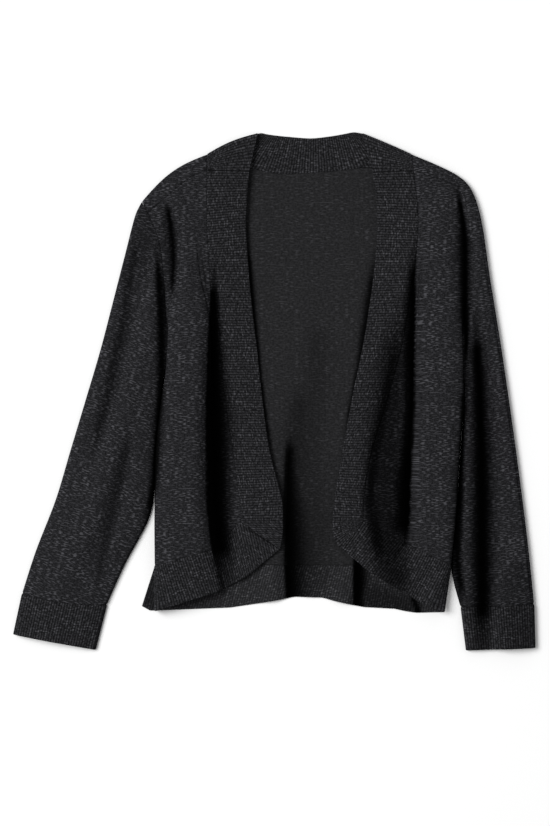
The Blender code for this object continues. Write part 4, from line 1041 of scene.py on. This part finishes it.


# The wearer's right sleeve: the painted shade of the side gap, painted shade alone over the top of the sleeve
# near the shoulder, and two sunk troughs with painted shade.
RIGHT_SLEEVE_CREASES = (
    BESIDE_RIGHT_SIDE,
    Crease(0.0, 0.3, 2, ((156, 196, 16, 16), (148, 222, 16, 16), (142, 250, 13, 13), (138, 290, 8, 8))),
    Crease(-2.5, 0.6, 2, (
        (141, 222, 3, 3), (136, 253, 5, 5), (130.6, 275, 6, 6), (124.5, 316, 5, 7), (116, 356, 5, 8),
        (108, 396, 5, 7), (100, 430, 5, 5), (92, 462, 3, 3),
    )),
    Crease(-2.5, 0.5, 2, (
        (131, 428, 3, 3), (124, 468, 5, 5), (117, 494, 5, 6.4), (110, 524, 5, 6.4), (104, 550, 4.6, 5),
        (97, 592, 3, 3),
    )),
)
# The wearer's left sleeve: the painted shade of the side gap, a deep sunk trough with painted shade that runs
# on into the cuff, and painted shade alone over the outer side towards the cuff.
LEFT_SLEEVE_CREASES = BESIDE_LEFT_SIDE + (
    Crease(-4.0, 1.0, 3, (
        (473, 290, 2, 2), (476.5, 335, 6, 6), (477, 358, 8, 8), (478.5, 380, 9, 9), (479.4, 405, 10, 10),
        (480.4, 435, 11, 11.4), (481, 465, 12, 12.4), (481.4, 495, 12.4, 13), (481.4, 524, 13, 13.6),
        (481.6, 560, 13, 13.6), (482, 598, 12, 12), (481, 630, 10, 10), (481, 700, 9, 9),
    )),
    Crease(0.0, 0.3, 2, ((520, 560, 12, 12), (518, 600, 22, 22), (518, 700, 22, 22))),
)


def make_sleeve(side_name, front, table, side, creases):
    """A sleeve's tube of jersey from the armhole to the cuff, and its last ring."""
    rings = sleeve_rings(front, table)
    middle = smooth(rings, np.linspace(0, len(rings) - 1, (len(rings) - 1) * SLEEVE_STEPS + 1))
    facing = grid_normals(middle, side, ring=True)
    top_columns = UNDERARM + 1
    facing[0, 1:top_columns] = (0, 0, 1)
    facing[0, top_columns + 1 :] = (0, 0, -1)
    freedom = np.clip(middle[..., 2] / FREE_HEIGHT - 1, 0, 1)
    middle, shut = creased(middle, creases, freedom)
    last = middle[-1].copy()
    middle[0] += unit(middle[SLEEVE_STEPS] - middle[0]) * ARMHOLE_EASE
    centre = middle[..., :2].mean(axis=1)
    places = knit_places(middle, unit(centre[0] - centre[-1]), top_columns // 2)
    shut = shut * np.clip(middle[..., 2] / SHADE_HEIGHT, 0, 1)
    piece = knit_piece(side_name + "_sleeve_tube", [side_name + "_sleeve"], front_jersey, middle, facing,
                       places, sewn=("last row",), ring=True, shut=shut)
    return piece, last


right_tube, right_wrist = make_sleeve("right", right_drape, RIGHT_SLEEVE, 1, RIGHT_SLEEVE_CREASES)
left_tube, left_wrist = make_sleeve("left", left_drape, LEFT_SLEEVE, -1, LEFT_SLEEVE_CREASES)


# ----------------------------------------------------------------------------------------------------------
# The cuffs: short tubes of one-by-one rib linked to the ends of the sleeves, with ribs that run down the arm.
# The sleeves' creases paint their shade on into them, as far as the mouth, without moving them.

CUFF_STEPS = 16
TURNED_UNDER = -0.3  # faces that look down more than this are on the table, and plain


def make_cuff(side_name, wrist, cuff_end, side, creases):
    """A cuff from the sleeve's last ring to its own straight mouth; the face on the table is left plain."""
    upper = UNDERARM + 1
    outer, inner = to_mm(cuff_end.outer_x, cuff_end.outer_y), to_mm(cuff_end.inner_x, cuff_end.inner_y)
    line = wrist[upper, :2] - wrist[0, :2]
    share = ((wrist[:, :2] - wrist[0, :2]) @ line / (line @ line))[:, None]
    mouth = np.column_stack([outer + (inner - outer) * share, wrist[:, 2]])
    closed = np.concatenate([(wrist + mouth) / 2, (wrist + mouth)[:1] / 2])
    places, along = even_places(closed, RIB_PITCH, STEPS_PER_RIB, ring=True)
    start, end = (read_line(np.concatenate([line, line[:1]]), places) for line in (wrist, mouth))
    shares = crowded(0.0, 1.0, CUFF_STEPS)
    middle, shut = creased(strip_between(start, end, shares, 0.0).swapaxes(0, 1), creases, 0.0)
    facing = grid_normals(middle, side, ring=True)
    uv, relief = (grid.swapaxes(0, 1) for grid in rib_surface(start, end, along, shares))
    raised = CLOTH / 2 + RIB_BODY + RIB_HEIGHT * (relief - 0.5)
    above = np.where(facing[..., 2] > TURNED_UNDER, raised, CLOTH / 2)
    shut = shut * np.clip(middle[..., 2] / SHADE_HEIGHT, 0, 1)
    return knit_piece(side_name + "_cuff_rib", [side_name + "_cuff"], band_rib, middle, facing, uv, above,
                      raised, sewn=("first row",), ring=True, relief=relief, shut=shut)


right_cuff = make_cuff("right", right_wrist, RIGHT_CUFF_END, 1, RIGHT_SLEEVE_CREASES)
left_cuff = make_cuff("left", left_wrist, LEFT_CUFF_END, -1, LEFT_SLEEVE_CREASES)
